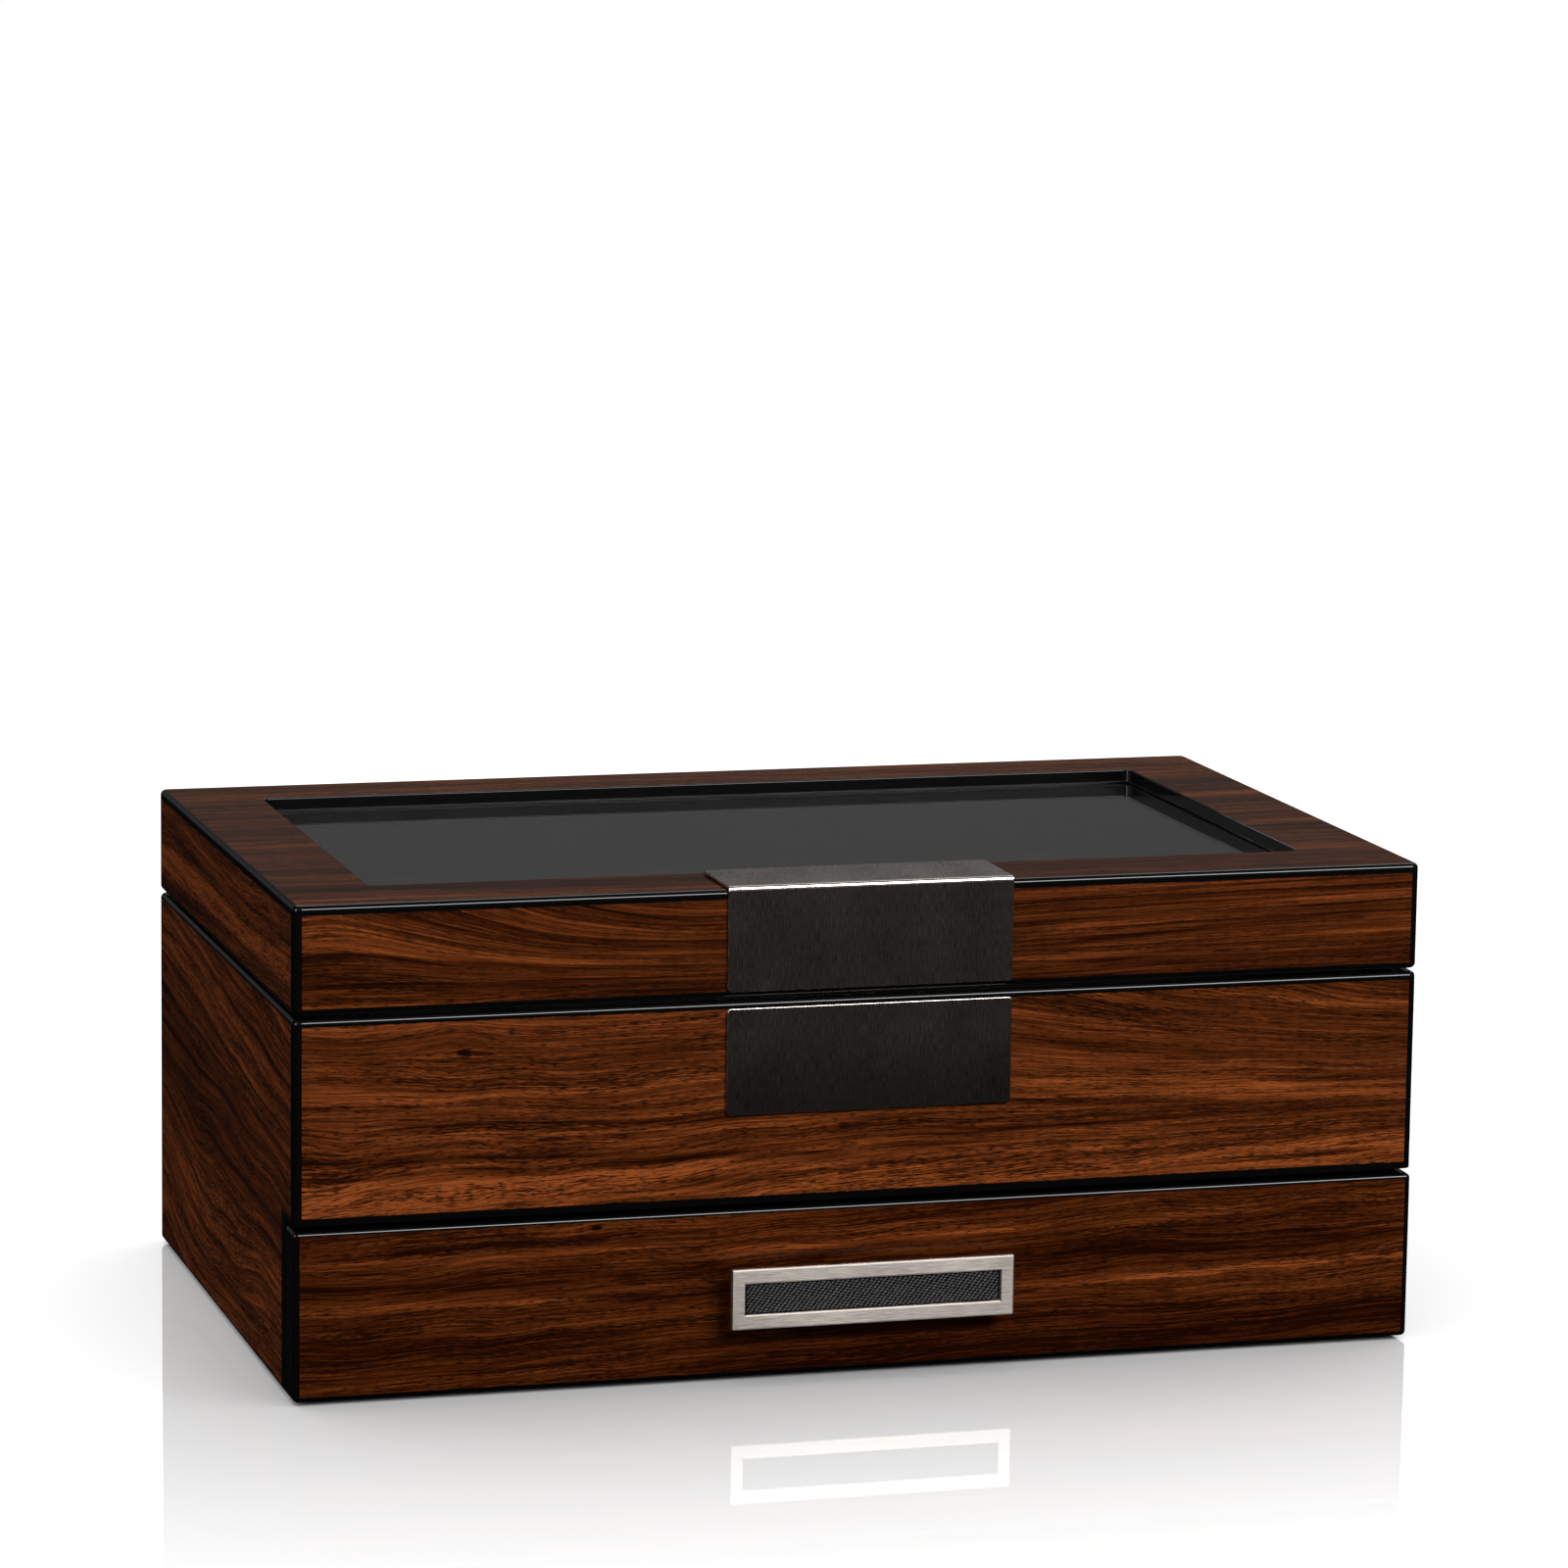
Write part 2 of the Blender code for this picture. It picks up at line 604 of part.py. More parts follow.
def make_drawer_box():
    for side, sign in (("left", -1), ("right", 1)):
        near, far = sorted((sign * BOX_X, sign * BOX_INNER_X))
        block(f"drawer_side_{side}", (near, BOX_FRONT, BOX_BOTTOM), (far, BOX_REAR, DRAWER_SIDE_TOP), "velour",
              DRAWER, arris=0.8 * MM)
    inner = BOX_INNER_X - FIT
    block("drawer_back", (-inner, BOX_REAR - DRAWER_WALL, BOX_BOTTOM), (inner, BOX_REAR, DRAWER_BACK_TOP), "velour",
          DRAWER, arris=0.8 * MM)
    rear = BOX_REAR - DRAWER_WALL - FIT
    block("drawer_bottom", (-inner, BOX_FRONT, BOX_FLOOR_TOP - DRAWER_FLOOR_THICK), (inner, rear, BOX_FLOOR_TOP),
          "velour", DRAWER)
    low_z = BOX_FLOOR_TOP + FIT
    half = DIVIDER_THICK / 2
    block("drawer_divider", (-half, BOX_FRONT + FIT, low_z), (half, rear - FIT, low_z + DRAWER_DIVIDER_TALL),
          "velour", DRAWER, arris=0.8 * MM)


def make_handle():
    """A steel frame with a shallow recess in front and two posts behind, screwed on from inside the drawer."""
    face = FRONT - HANDLE_REACH
    rear = face + HANDLE_THICK
    half_x, half_z = HANDLE_WIDTH / 2, HANDLE_HEIGHT / 2
    low_z, high_z = HANDLE_CENTRE_Z - half_z, HANDLE_CENTRE_Z + half_z
    frame = block("handle_frame", (-half_x, face, low_z), (half_x, rear, high_z), "steel", DRAWER)
    recess_x, recess_z = half_x - HANDLE_BAR, half_z - HANDLE_BAR
    cut_block(frame, "handle_recess", (-recess_x, face - OVER, HANDLE_CENTRE_Z - recess_z),
              (recess_x, face + HANDLE_RECESS_DEEP, HANDLE_CENTRE_Z + recess_z))
    bevel(frame, EDGE_BREAK, 2, 60)
    post_end = FRONT - FIT
    post_long = post_end - rear
    for side, x in handle_screw_places():
        root = MM / 2  # how far a post runs into the frame
        join_rod(frame, f"post_{side}", POST_RADIUS, post_long + root,
                 (x, rear + (post_long - root) / 2, HANDLE_CENTRE_Z), ALONG_Y)
        cut_rod(frame, f"post_hole_{side}", HANDLE_SCREW_RADIUS + FIT, post_long,
                (x, rear + post_long / 2 + FIT, HANDLE_CENTRE_Z), ALONG_Y)
    inlay_x, inlay_z = recess_x - FIT, recess_z - FIT
    seat = face + HANDLE_RECESS_DEEP - FIT
    inlay = block("handle_inlay", (-inlay_x, seat - INLAY_THICK, HANDLE_CENTRE_Z - inlay_z),
                  (inlay_x, seat, HANDLE_CENTRE_Z + inlay_z), "leather", DRAWER)
    bevel(inlay, 0.3 * MM, 2, 60)


def make_handle_screws():
    """Round-headed screws through the drawer front into the handle's posts."""
    head = HANDLE_SCREW_HEAD_TALL
    long = WALL + 2 * FIT + HANDLE_REACH - HANDLE_THICK - 1 * MM
    dome = [(HANDLE_SCREW_HEAD * sin(a), head * cos(a)) for a in (step * pi / 6 for step in range(4))]
    profile = [*dome, (HANDLE_SCREW_RADIUS, 0.0), (HANDLE_SCREW_RADIUS, -long), (0.0, -long)]
    for side, x in handle_screw_places():
        name = f"handle_screw_{side}"
        where = Vector((x, FRONT + WALL + FIT, HANDLE_CENTRE_Z))
        turn = (-pi / 2, 0.0, 0.0)
        screw = add(name, turned_mesh(name, profile), "hinge", where, DRAWER, turn)
        turn_profile(screw, 16)
        drive = where + Vector((0.0, head, 0.0))
        cut_drive(screw, f"{name}_drive", drive, 3.5 * MM, 0.9 * MM, turn)


# ---------------------------------------------------------------- the whole box

clear_scene()
PARTS = make_collection("watch_box")
CUTTERS = make_collection("cutters")
CASE = make_empty("case_origin", (0.0, 0.0, 0.0))
LID = make_empty("lid_axis", (0.0, AXIS_Y, AXIS_Z))
DRAWER = make_empty("drawer_slide", (0.0, FRONT, HANDLE_CENTRE_Z))
make_carcass()
make_boards()
make_feet()
make_bumpers()
make_linings()
make_dividers()
make_cushions()
make_hinges()
make_lid_frame()
make_glass()
make_glass_strips()
make_lid_plate()
make_case_plate()
make_drawer_front()
make_drawer_box()
make_handle()
make_handle_screws()
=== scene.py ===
"""The looks of the watch box: lacquered walnut veneer, steel plates, glass and padded cushions."""

from math import cos, pi, radians, sin

import bmesh
import bpy
import numpy as np
from mathutils import Matrix, Quaternion, Vector


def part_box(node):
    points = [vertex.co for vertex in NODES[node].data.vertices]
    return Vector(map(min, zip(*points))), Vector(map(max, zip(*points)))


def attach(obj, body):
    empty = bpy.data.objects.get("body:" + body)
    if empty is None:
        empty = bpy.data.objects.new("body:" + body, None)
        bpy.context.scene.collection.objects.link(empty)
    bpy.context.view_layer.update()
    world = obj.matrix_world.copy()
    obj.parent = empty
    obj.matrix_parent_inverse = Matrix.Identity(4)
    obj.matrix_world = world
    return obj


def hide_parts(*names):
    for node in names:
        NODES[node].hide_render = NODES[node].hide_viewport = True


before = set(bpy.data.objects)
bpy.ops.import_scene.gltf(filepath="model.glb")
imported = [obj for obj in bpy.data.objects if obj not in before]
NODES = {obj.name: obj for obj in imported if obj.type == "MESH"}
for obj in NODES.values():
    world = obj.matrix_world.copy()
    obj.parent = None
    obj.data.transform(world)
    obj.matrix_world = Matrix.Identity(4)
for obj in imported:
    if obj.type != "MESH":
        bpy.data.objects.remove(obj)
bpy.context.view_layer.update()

MM = 0.001
TINY = 1e-6

CASE_LOW, CASE_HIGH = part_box("case_carcass")
LID_LOW, LID_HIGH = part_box("lid_frame")
DRAWER_LOW, DRAWER_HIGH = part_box("drawer_front")
GLASS_LOW, GLASS_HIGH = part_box("glass_pane")
SIDE, FRONT, BACK = CASE_HIGH.x, CASE_LOW.y, CASE_HIGH.y
WALL = DRAWER_HIGH.y - DRAWER_LOW.y
OVER = 2 * MM  # how far a cutter runs past the face that it cuts

# Rounding of the lacquered shells.
CORNER_ROUND = 2.5 * MM
ARRIS_ROUND = 1.5 * MM
CASE_ROUND = 0.8 * MM
INNER_ROUND = 0.5 * MM
WINDOW_ROUND = 1.8 * MM
REBATE = 6.5 * MM  # the glass lies this far under the rails
FIT = 0.3 * MM
MORTISE = 1.4 * MM  # depth of the seats for the hinge leaves

# The cut in the lower front corner of the case's sides, where the drawer front lies over them.
NOTCH_Y = FRONT + WALL + 0.5 * MM
NOTCH_Z = DRAWER_HIGH.z + 1.6 * MM

# Black lacquer round the sheets of veneer, in millimetres.
BAND = 1.7
CORNER_BAND = 3.6
TOP_BAND = 1.6

PAST = 190  # millimetres from the middle, past the ends of every sheet of veneer


# ---------------------------------------------------------------- shader nodes

class Nodes:
    """Short ways to add nodes to a tree and link them."""

    def __init__(self, tree):
        self.tree = tree

    def add(self, kind, **settings):
        node = self.tree.nodes.new(f"ShaderNode{kind}")
        for name, value in settings.items():
            setattr(node, name, value)
        return node

    def put(self, value, socket):
        """Links an output to an input, or sets the input to a plain value."""
        if isinstance(value, bpy.types.NodeSocket):
            self.tree.links.new(value, socket)
        else:
            socket.default_value = value

    def math(self, operation, *values, clamp=False):
        node = self.add("Math", operation=operation, use_clamp=clamp)
        for value, socket in zip(values, node.inputs):
            self.put(value, socket)
        return node.outputs[0]

    def vector(self, x, y, z):
        node = self.add("CombineXYZ")
        for value, socket in zip((x, y, z), node.inputs):
            self.put(value, socket)
        return node.outputs[0]

    def noise(self, x, y, z, detail=2.0, roughness=0.5):
        node = self.add("TexNoise", noise_dimensions="3D")
        self.put(self.vector(x, y, z), node.inputs["Vector"])
        node.inputs["Scale"].default_value = 1.0
        node.inputs["Detail"].default_value = detail
        node.inputs["Roughness"].default_value = roughness
        node.inputs["Distortion"].default_value = 0.0
        return node.outputs["Fac"]

    def even_noise(self, place, size, **options):
        """Noise with grains of one size in every direction, in the units of the place."""
        return self.noise(*(self.math("DIVIDE", value, size) for value in place), **options)

    def centred(self, value):
        """A noise about zero."""
        return self.math("SUBTRACT", value, 0.5)

    def remap(self, value, low, high, to_low=0.0, to_high=1.0, smooth=False):
        kind = "SMOOTHSTEP" if smooth else "LINEAR"
        node = self.add("MapRange", interpolation_type=kind, clamp=True)
        for given, socket in zip((value, low, high, to_low, to_high), node.inputs):
            self.put(given, socket)
        return node.outputs[0]

    def mix(self, factor, first, second, blend="MIX"):
        node = self.add("Mix", data_type="RGBA", blend_type=blend)
        self.put(factor, node.inputs[0])
        self.put(first, node.inputs[6])
        self.put(second, node.inputs[7])
        return node.outputs[2]

    def shaded(self, colour, level):
        """A plain colour made lighter or darker by a level about 1."""
        return self.mix(1.0, (*colour, 1.0), self.vector(level, level, level), blend="MULTIPLY")

    def ramp(self, factor, stops):
        node = self.add("ValToRGB")
        elements = node.color_ramp.elements
        while len(elements) < len(stops):
            elements.new(0.5)
        for element, (place, colour) in zip(elements, stops):
            element.position = place
            element.color = (*colour, 1.0)
        self.put(factor, node.inputs[0])
        return node.outputs[0]

    def bump(self, height, distance):
        node = self.add("Bump")
        node.inputs["Strength"].default_value = 1.0
        node.inputs["Distance"].default_value = distance
        self.put(height, node.inputs["Height"])
        return node.outputs[0]

    def place(self):
        """The point on the piece at rest, in millimetres, as x, y and z."""
        coordinates = self.add("TexCoord").outputs["Object"]
        scale = self.add("VectorMath", operation="SCALE")
        self.put(coordinates, scale.inputs[0])
        scale.inputs["Scale"].default_value = 1.0 / MM
        split = self.add("SeparateXYZ")
        self.put(scale.outputs[0], split.inputs[0])
        return split.outputs


def material(name, **sockets):
    """A Principled material with constants on its own sockets.

    Gives the material, its nodes and its shader.
    """
    made = bpy.data.materials.new(name)
    made.use_nodes = True
    shader = made.node_tree.nodes["Principled BSDF"]
    for socket, value in sockets.items():
        shader.inputs[socket.replace("_", " ")].default_value = value
    return made, Nodes(made.node_tree), shader


# ---------------------------------------------------------------- walnut

WALNUT = [  # from the dark streaks to the light ones
    (0.00, (0.030, 0.0050, 0.0006)),
    (0.20, (0.088, 0.0165, 0.0022)),
    (0.42, (0.165, 0.0360, 0.0062)),
    (0.62, (0.250, 0.0570, 0.0115)),
    (0.82, (0.400, 0.0930, 0.0195)),
    (1.00, (0.620, 0.1480, 0.0330)),
]
PORE = (0.016, 0.0032, 0.0007, 1.0)


def walnut_figure():
    """A node group: the colour of walnut from a place along and across its grain, in millimetres."""
    tree = bpy.data.node_groups.new("walnut_figure", "ShaderNodeTree")
    for name in ("Along", "Across", "Seed", "Wave", "Ripple", "Rings", "Tone"):
        tree.interface.new_socket(name=name, in_out="INPUT", socket_type="NodeSocketFloat")
    tree.interface.new_socket(name="Color", in_out="OUTPUT", socket_type="NodeSocketColor")
    n = Nodes(tree)
    along, across, seed, wave, ripple, rings, tone = tree.nodes.new("NodeGroupInput").outputs[:7]

    def stretched(long, wide, offset, flow, **options):
        """Noise with grains of this length and width, its own layer by its offset."""
        moved = n.math("ADD", seed, offset)
        return n.noise(n.math("DIVIDE", along, long), n.math("DIVIDE", flow, wide), moved, **options)

    # The flow is the place across the grain, bent by slow waves and quick ripples.
    slow = n.centred(stretched(150.0, 70.0, 1.3, across, detail=1.0))
    quick = n.centred(stretched(34.0, 15.0, 5.1, across, detail=0.6))
    flow = n.math("MULTIPLY_ADD", slow, wave, across)
    flow = n.math("MULTIPLY_ADD", quick, ripple, flow)

    # Layers of figure, from broad bands to fine lines and thin dark veins.
    broad = n.centred(n.remap(stretched(380.0, 14.0, 9.7, flow), 0.3, 0.7))
    streak = n.centred(n.remap(stretched(120.0, 2.6, 14.9, flow), 0.28, 0.72))
    line = n.centred(n.remap(stretched(26.0, 0.5, 21.3, flow, roughness=0.6), 0.34, 0.66))
    vein = n.remap(stretched(80.0, 1.1, 27.7, flow, detail=1.0), 0.62, 0.72, smooth=True)

    # Growth rings: each rises slowly from light early wood and ends in a dark line of late wood.
    drift = stretched(260.0, 36.0, 33.3, flow, detail=1.0)
    phase = n.math("FRACT", n.math("MULTIPLY_ADD", drift, 2.6, n.math("DIVIDE", flow, 8.0)))
    late = n.remap(phase, 0.62, 0.93, smooth=True)
    late = n.math("MULTIPLY", late, n.remap(phase, 0.95, 1.0, 1.0, 0.0))
    early = n.remap(phase, 0.0, 0.35, 0.5, 0.0)
    ring = n.math("SUBTRACT", early, late)

    shade = n.math("MULTIPLY_ADD", broad, 0.50, 0.57)
    shade = n.math("MULTIPLY_ADD", streak, 0.26, shade)
    shade = n.math("MULTIPLY_ADD", line, 0.46, shade)
    shade = n.math("MULTIPLY_ADD", vein, -0.26, shade)
    shade = n.math("MULTIPLY_ADD", ring, n.math("MULTIPLY", rings, 0.50), shade)
    shade = n.math("ADD", shade, tone)
    colour = n.ramp(shade, WALNUT)

    # Pores: long and short dark dashes, in crowds.
    crowd = n.remap(stretched(60.0, 3.4, 47.7, flow), 0.3, 0.7, -0.09, 0.08)
    for long, wide, offset, strength in ((11.0, 0.34, 41.9, 0.75), (3.0, 0.22, 53.9, 0.85)):
        dashes = n.math("ADD", stretched(long, wide, offset, flow, detail=1.0), crowd)
        colour = n.mix(n.remap(dashes, 0.50, 0.64, 0.0, strength, smooth=True), colour, PORE)
    n.put(colour, tree.nodes.new("NodeGroupOutput").inputs["Color"])
    return tree


LACQUER = {"Roughness": 0.6, "Coat_Weight": 1.0, "Coat_Roughness": 0.03, "Coat_IOR": 1.5,
           "Specular_IOR_Level": 0.0}
BLACK = (0.0035, 0.0033, 0.0036, 1.0)
CEMENT = (0.06, 0.06, 0.06, 1.0)
KNOT = (0.006, 0.003, 0.002, 1.0)
INSIDE = 20.0  # millimetres from the outer faces, past which only the window's wall is left


def lacquer_relief(n, place):
    """The faint unevenness of sprayed and polished lacquer, as a normal for the coat."""
    return n.bump(n.even_noise(place, 9.0, detail=1.0), 0.012 * MM)


def black_lacquer():
    """Black, with a thin grey line of cement where the glass meets the wall of the window."""
    made, n, shader = material("black_lacquer", **LACQUER)
    x, y, z = place = n.place()
    inner = n.math("LESS_THAN", n.math("ABSOLUTE", x), SIDE / MM - INSIDE)
    inner = n.math("MULTIPLY", inner, n.math("GREATER_THAN", y, FRONT / MM + INSIDE))
    inner = n.math("MULTIPLY", inner, n.math("LESS_THAN", y, BACK / MM - INSIDE))
    above = n.math("SUBTRACT", z, GLASS_HIGH.z / MM)
    off_line = n.math("ABSOLUTE", n.math("SUBTRACT", above, 0.5))
    line = n.math("MULTIPLY", inner, n.remap(off_line, 0.12, 0.3, 1.0, 0.0))
    n.put(n.mix(line, BLACK, CEMENT), shader.inputs["Base Color"])
    n.put(lacquer_relief(n, place), shader.inputs["Coat Normal"])
    return made


def rectangle_mask(n, first, second, low, high):
    """0 inside a rectangle of two coordinates in millimetres, 1 outside, its edge slightly uneven."""
    soft, ragged = 0.12, 0.4
    wobble = n.noise(n.math("DIVIDE", first, 1.6), n.math("DIVIDE", second, 1.6), 0.0)
    inside = None
    for value, near, far in ((first, low[0], high[0]), (second, low[1], high[1])):
        for distance in (n.math("SUBTRACT", value, near), n.math("SUBTRACT", far, value)):
            inside = distance if inside is None else n.math("MINIMUM", inside, distance)
    inside = n.math("MULTIPLY_ADD", n.centred(wobble), ragged, inside)
    return n.remap(inside, -soft, soft, 1.0, 0.0, smooth=True)


STRIPE_FADE = 15.0  # millimetres over which a stripe starts and ends
STRAY = 5.0  # millimetres that a stripe wanders across the grain
STRAY_LENGTH = 60.0


def veneer(name, along, across, low, high, seed, wave=14.0, ripple=4.0, tilt=0.0, rings=0.3,
           tone=0.0, knots=(), bends=(), fans=None, stripes=(), notch=None,
           painted_light_tint=(1.0, 1.0, 1.0), coat=1.0, haze=LACQUER["Coat_Roughness"]):
    """Walnut on one face. Lengths are in millimetres.

    along and across name the face's two coordinates; low and high are the sheet's corners.
    wave and ripple are how far the grain bends. A wave that changes with height is (height,
      height, wave at the first, wave at the second).
    tilt is the slope of the grain, rings the strength of the growth rings, tone lighter or darker.
    A knot is (along, across, half width, half height).
    A bend is (amount, start and end along the grain, start and end across it).
    Fans are the grain's slopes at two heights, (slope, slope, height, height), left and right of
      the middle.
    A stripe is (amount, slope, height at 0, half width, start and end along the grain), lighter
      or darker than the rest.
    A notch is a rectangle without veneer. coat and haze are the lacquer's gloss and roughness.
    """
    made, n, shader = material(name, **{**LACQUER, "Coat_Weight": coat, "Coat_Roughness": haze})
    place = n.place()
    named = dict(zip("xyz", place))
    u, v = named[along], named[across]
    flow = n.math("MULTIPLY_ADD", u, tilt, v)
    for end, (slope_low, slope_high, v_low, v_high) in zip(("MINIMUM", "MAXIMUM"), fans or ()):
        slope = n.remap(v, v_low, v_high, -slope_low, -slope_high)
        flow = n.math("MULTIPLY_ADD", n.math(end, u, 0.0), slope, flow)
    for amount, u_start, u_end, v_start, v_end in bends:
        share = n.math("MULTIPLY", n.remap(u, u_start, u_end, smooth=True),
                       n.remap(v, v_start, v_end, smooth=True))
        flow = n.math("MULTIPLY_ADD", share, amount, flow)
    dark = 0.0
    for knot_u, knot_v, wide, tall in knots:
        du, dv = n.math("SUBTRACT", u, knot_u), n.math("SUBTRACT", v, knot_v)

        def distance(width, height):
            return n.math("ADD", n.math("POWER", n.math("DIVIDE", du, width), 2.0),
                          n.math("POWER", n.math("DIVIDE", dv, height), 2.0))

        pull = n.math("EXPONENT", n.math("MULTIPLY", distance(6 * wide, 5 * tall), -1.0))
        pull = n.math("MULTIPLY", pull, dv)
        flow = n.math("ADD", flow, n.math("MULTIPLY", pull, -0.55))
        ragged = n.noise(n.math("DIVIDE", u, wide), n.math("DIVIDE", v, tall), seed, detail=3.0)
        out = n.math("MULTIPLY_ADD", ragged, 1.2, distance(wide, tall))
        spot = n.remap(out, 0.75, 1.9, 0.92, 0.0, smooth=True)
        dark = n.math("MAXIMUM", dark, spot)
    if isinstance(wave, tuple):
        wave = n.remap(v, *wave)
    for amount, slope, height, half_width, start, end in stripes:
        stray = n.noise(n.math("DIVIDE", u, STRAY_LENGTH), height, float(seed), detail=1.0)
        middle = n.math("MULTIPLY_ADD", stray, STRAY, height - STRAY / 2)
        middle = n.math("MULTIPLY_ADD", u, slope, middle)
        beside = n.math("DIVIDE", n.math("SUBTRACT", v, middle), half_width)
        share = n.math("EXPONENT", n.math("MULTIPLY", n.math("MULTIPLY", beside, beside), -1.0))
        begun = n.remap(u, start - STRIPE_FADE, start + STRIPE_FADE, smooth=True)
        over = n.remap(u, end - STRIPE_FADE, end + STRIPE_FADE, 1.0, 0.0, smooth=True)
        share = n.math("MULTIPLY", n.math("MULTIPLY", share, begun), over)
        patchy = n.noise(n.math("DIVIDE", u, STRAY_LENGTH), n.math("DIVIDE", v, 1.6), seed + 3.0)
        patchy = n.math("MULTIPLY_ADD", n.remap(patchy, 0.3, 0.7), 0.8, 0.6)
        share = n.math("MULTIPLY", share, patchy)
        tone = n.math("MULTIPLY_ADD", share, amount, tone)
    group = n.add("Group", node_tree=FIGURE)
    for value, socket in zip((u, flow, float(seed), wave, ripple, rings, tone), group.inputs):
        n.put(value, socket)
    # Where the tint is not white it is painted light: it makes the wood's colour lighter and cooler.
    colour = n.mix(1.0, group.outputs["Color"], (*painted_light_tint, 1.0), blend="MULTIPLY")
    colour = n.mix(dark, colour, KNOT)
    band = rectangle_mask(n, u, v, low, high)
    if notch:
        band = n.math("MAXIMUM", band, n.math("SUBTRACT", 1.0, rectangle_mask(n, u, v, *notch)))
    n.put(n.mix(band, colour, BLACK), shader.inputs["Base Color"])
    n.put(lacquer_relief(n, place), shader.inputs["Coat Normal"])
    return made


# ---------------------------------------------------------------- shells

def to_object(name, bm):
    mesh = bpy.data.meshes.new(name)
    bm.to_mesh(mesh)
    bm.free()
    return in_scene(name, mesh)


def in_scene(name, data):
    """A new object in the scene for a mesh, a light or a camera."""
    made = bpy.data.objects.new(name, data)
    bpy.context.scene.collection.objects.link(made)
    return made


def round_edges(bm, edges, radius, segments):
    bmesh.ops.bevel(bm, geom=edges, offset=radius, segments=segments, profile=0.5, affect="EDGES")


def block(name, low, high, corner=0.0, arris=0.0, corner_steps=8, arris_steps=6):
    """A box in place, its upright corners rounded and the arrises of its top and underside."""
    low, high = Vector(low), Vector(high)
    size = high - low
    bm = bmesh.new()
    bmesh.ops.create_cube(bm, size=1.0)
    bmesh.ops.scale(bm, vec=size, verts=bm.verts)
    if corner and corner == arris:
        round_edges(bm, bm.edges[:], corner, arris_steps)
    else:
        if corner:
            uprights = [e for e in bm.edges if abs(e.verts[0].co.z - e.verts[1].co.z) > size.z / 2]
            round_edges(bm, uprights, corner, corner_steps)
        if arris:
            level = [e for e in bm.edges if abs(e.verts[0].co.z + e.verts[1].co.z) > size.z - TINY]
            round_edges(bm, level, arris, arris_steps)
    bmesh.ops.translate(bm, vec=(low + high) / 2, verts=bm.verts)
    return to_object(name, bm)


def bake(piece):
    """Keeps what the piece's modifiers make as its own mesh."""
    bpy.context.view_layer.update()
    made = piece.evaluated_get(bpy.context.evaluated_depsgraph_get())
    shape = bpy.data.meshes.new_from_object(made)
    piece.modifiers.clear()
    piece.data = shape
    return piece


def carve(piece, cutters):
    for cutter in cutters:
        step = piece.modifiers.new(cutter.name, "BOOLEAN")
        step.operation = "DIFFERENCE"
        step.object = cutter
    bake(piece)
    for cutter in cutters:
        bpy.data.objects.remove(cutter, do_unlink=True)
    return piece


def bevel(piece, width, segments, angle=60):
    edge = piece.modifiers.new("edge", "BEVEL")
    edge.width = width
    edge.segments = segments
    edge.limit_method = "ANGLE"
    edge.angle_limit = radians(angle)
    return piece


def smooth(piece):
    """Smooth shading that keeps flat faces flat."""
    piece.data.shade_smooth()
    piece.data.set_sharp_from_angle(angle=radians(40))
    flat = piece.modifiers.new("flat", "WEIGHTED_NORMAL")
    flat.keep_sharp = True
    flat.weight = 100
    return piece


def face_materials(piece, faces):
    """Black lacquer all over, and a veneer on each outer face: (axis, sign, plane) to material."""
    piece.data.materials.append(BLACK_LACQUER)
    for index, ((axis, sign, plane), finish) in enumerate(faces.items(), 1):
        piece.data.materials.append(finish)
        for face in piece.data.polygons:
            if face.normal[axis] * sign > 0.999 and abs(face.center[axis] - plane) < 0.05 * MM:
                face.material_index = index


def mortises(name, level, up):
    """Cutters for the hinge leaves: up (1) into the lid's underside, down (-1) into the case's top."""
    made = []
    for side in ("left", "right"):
        low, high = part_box(f"hinge_{side}_{'lid' if up > 0 else 'case'}_leaf")
        bottom, top = sorted((level - up * OVER, level + up * MORTISE))
        made.append(block(f"{name}_{side}", (low.x - FIT, low.y - FIT, bottom),
                          (high.x + FIT, BACK + OVER, top)))
    return made


def mm(*values):
    return tuple(value / MM for value in values)


def hollow_block(low, high):
    """The room inside the walls of a tier, between two heights."""
    return block("hollow", (WALL - SIDE, FRONT + WALL, low), (SIDE - WALL, BACK - WALL, high))


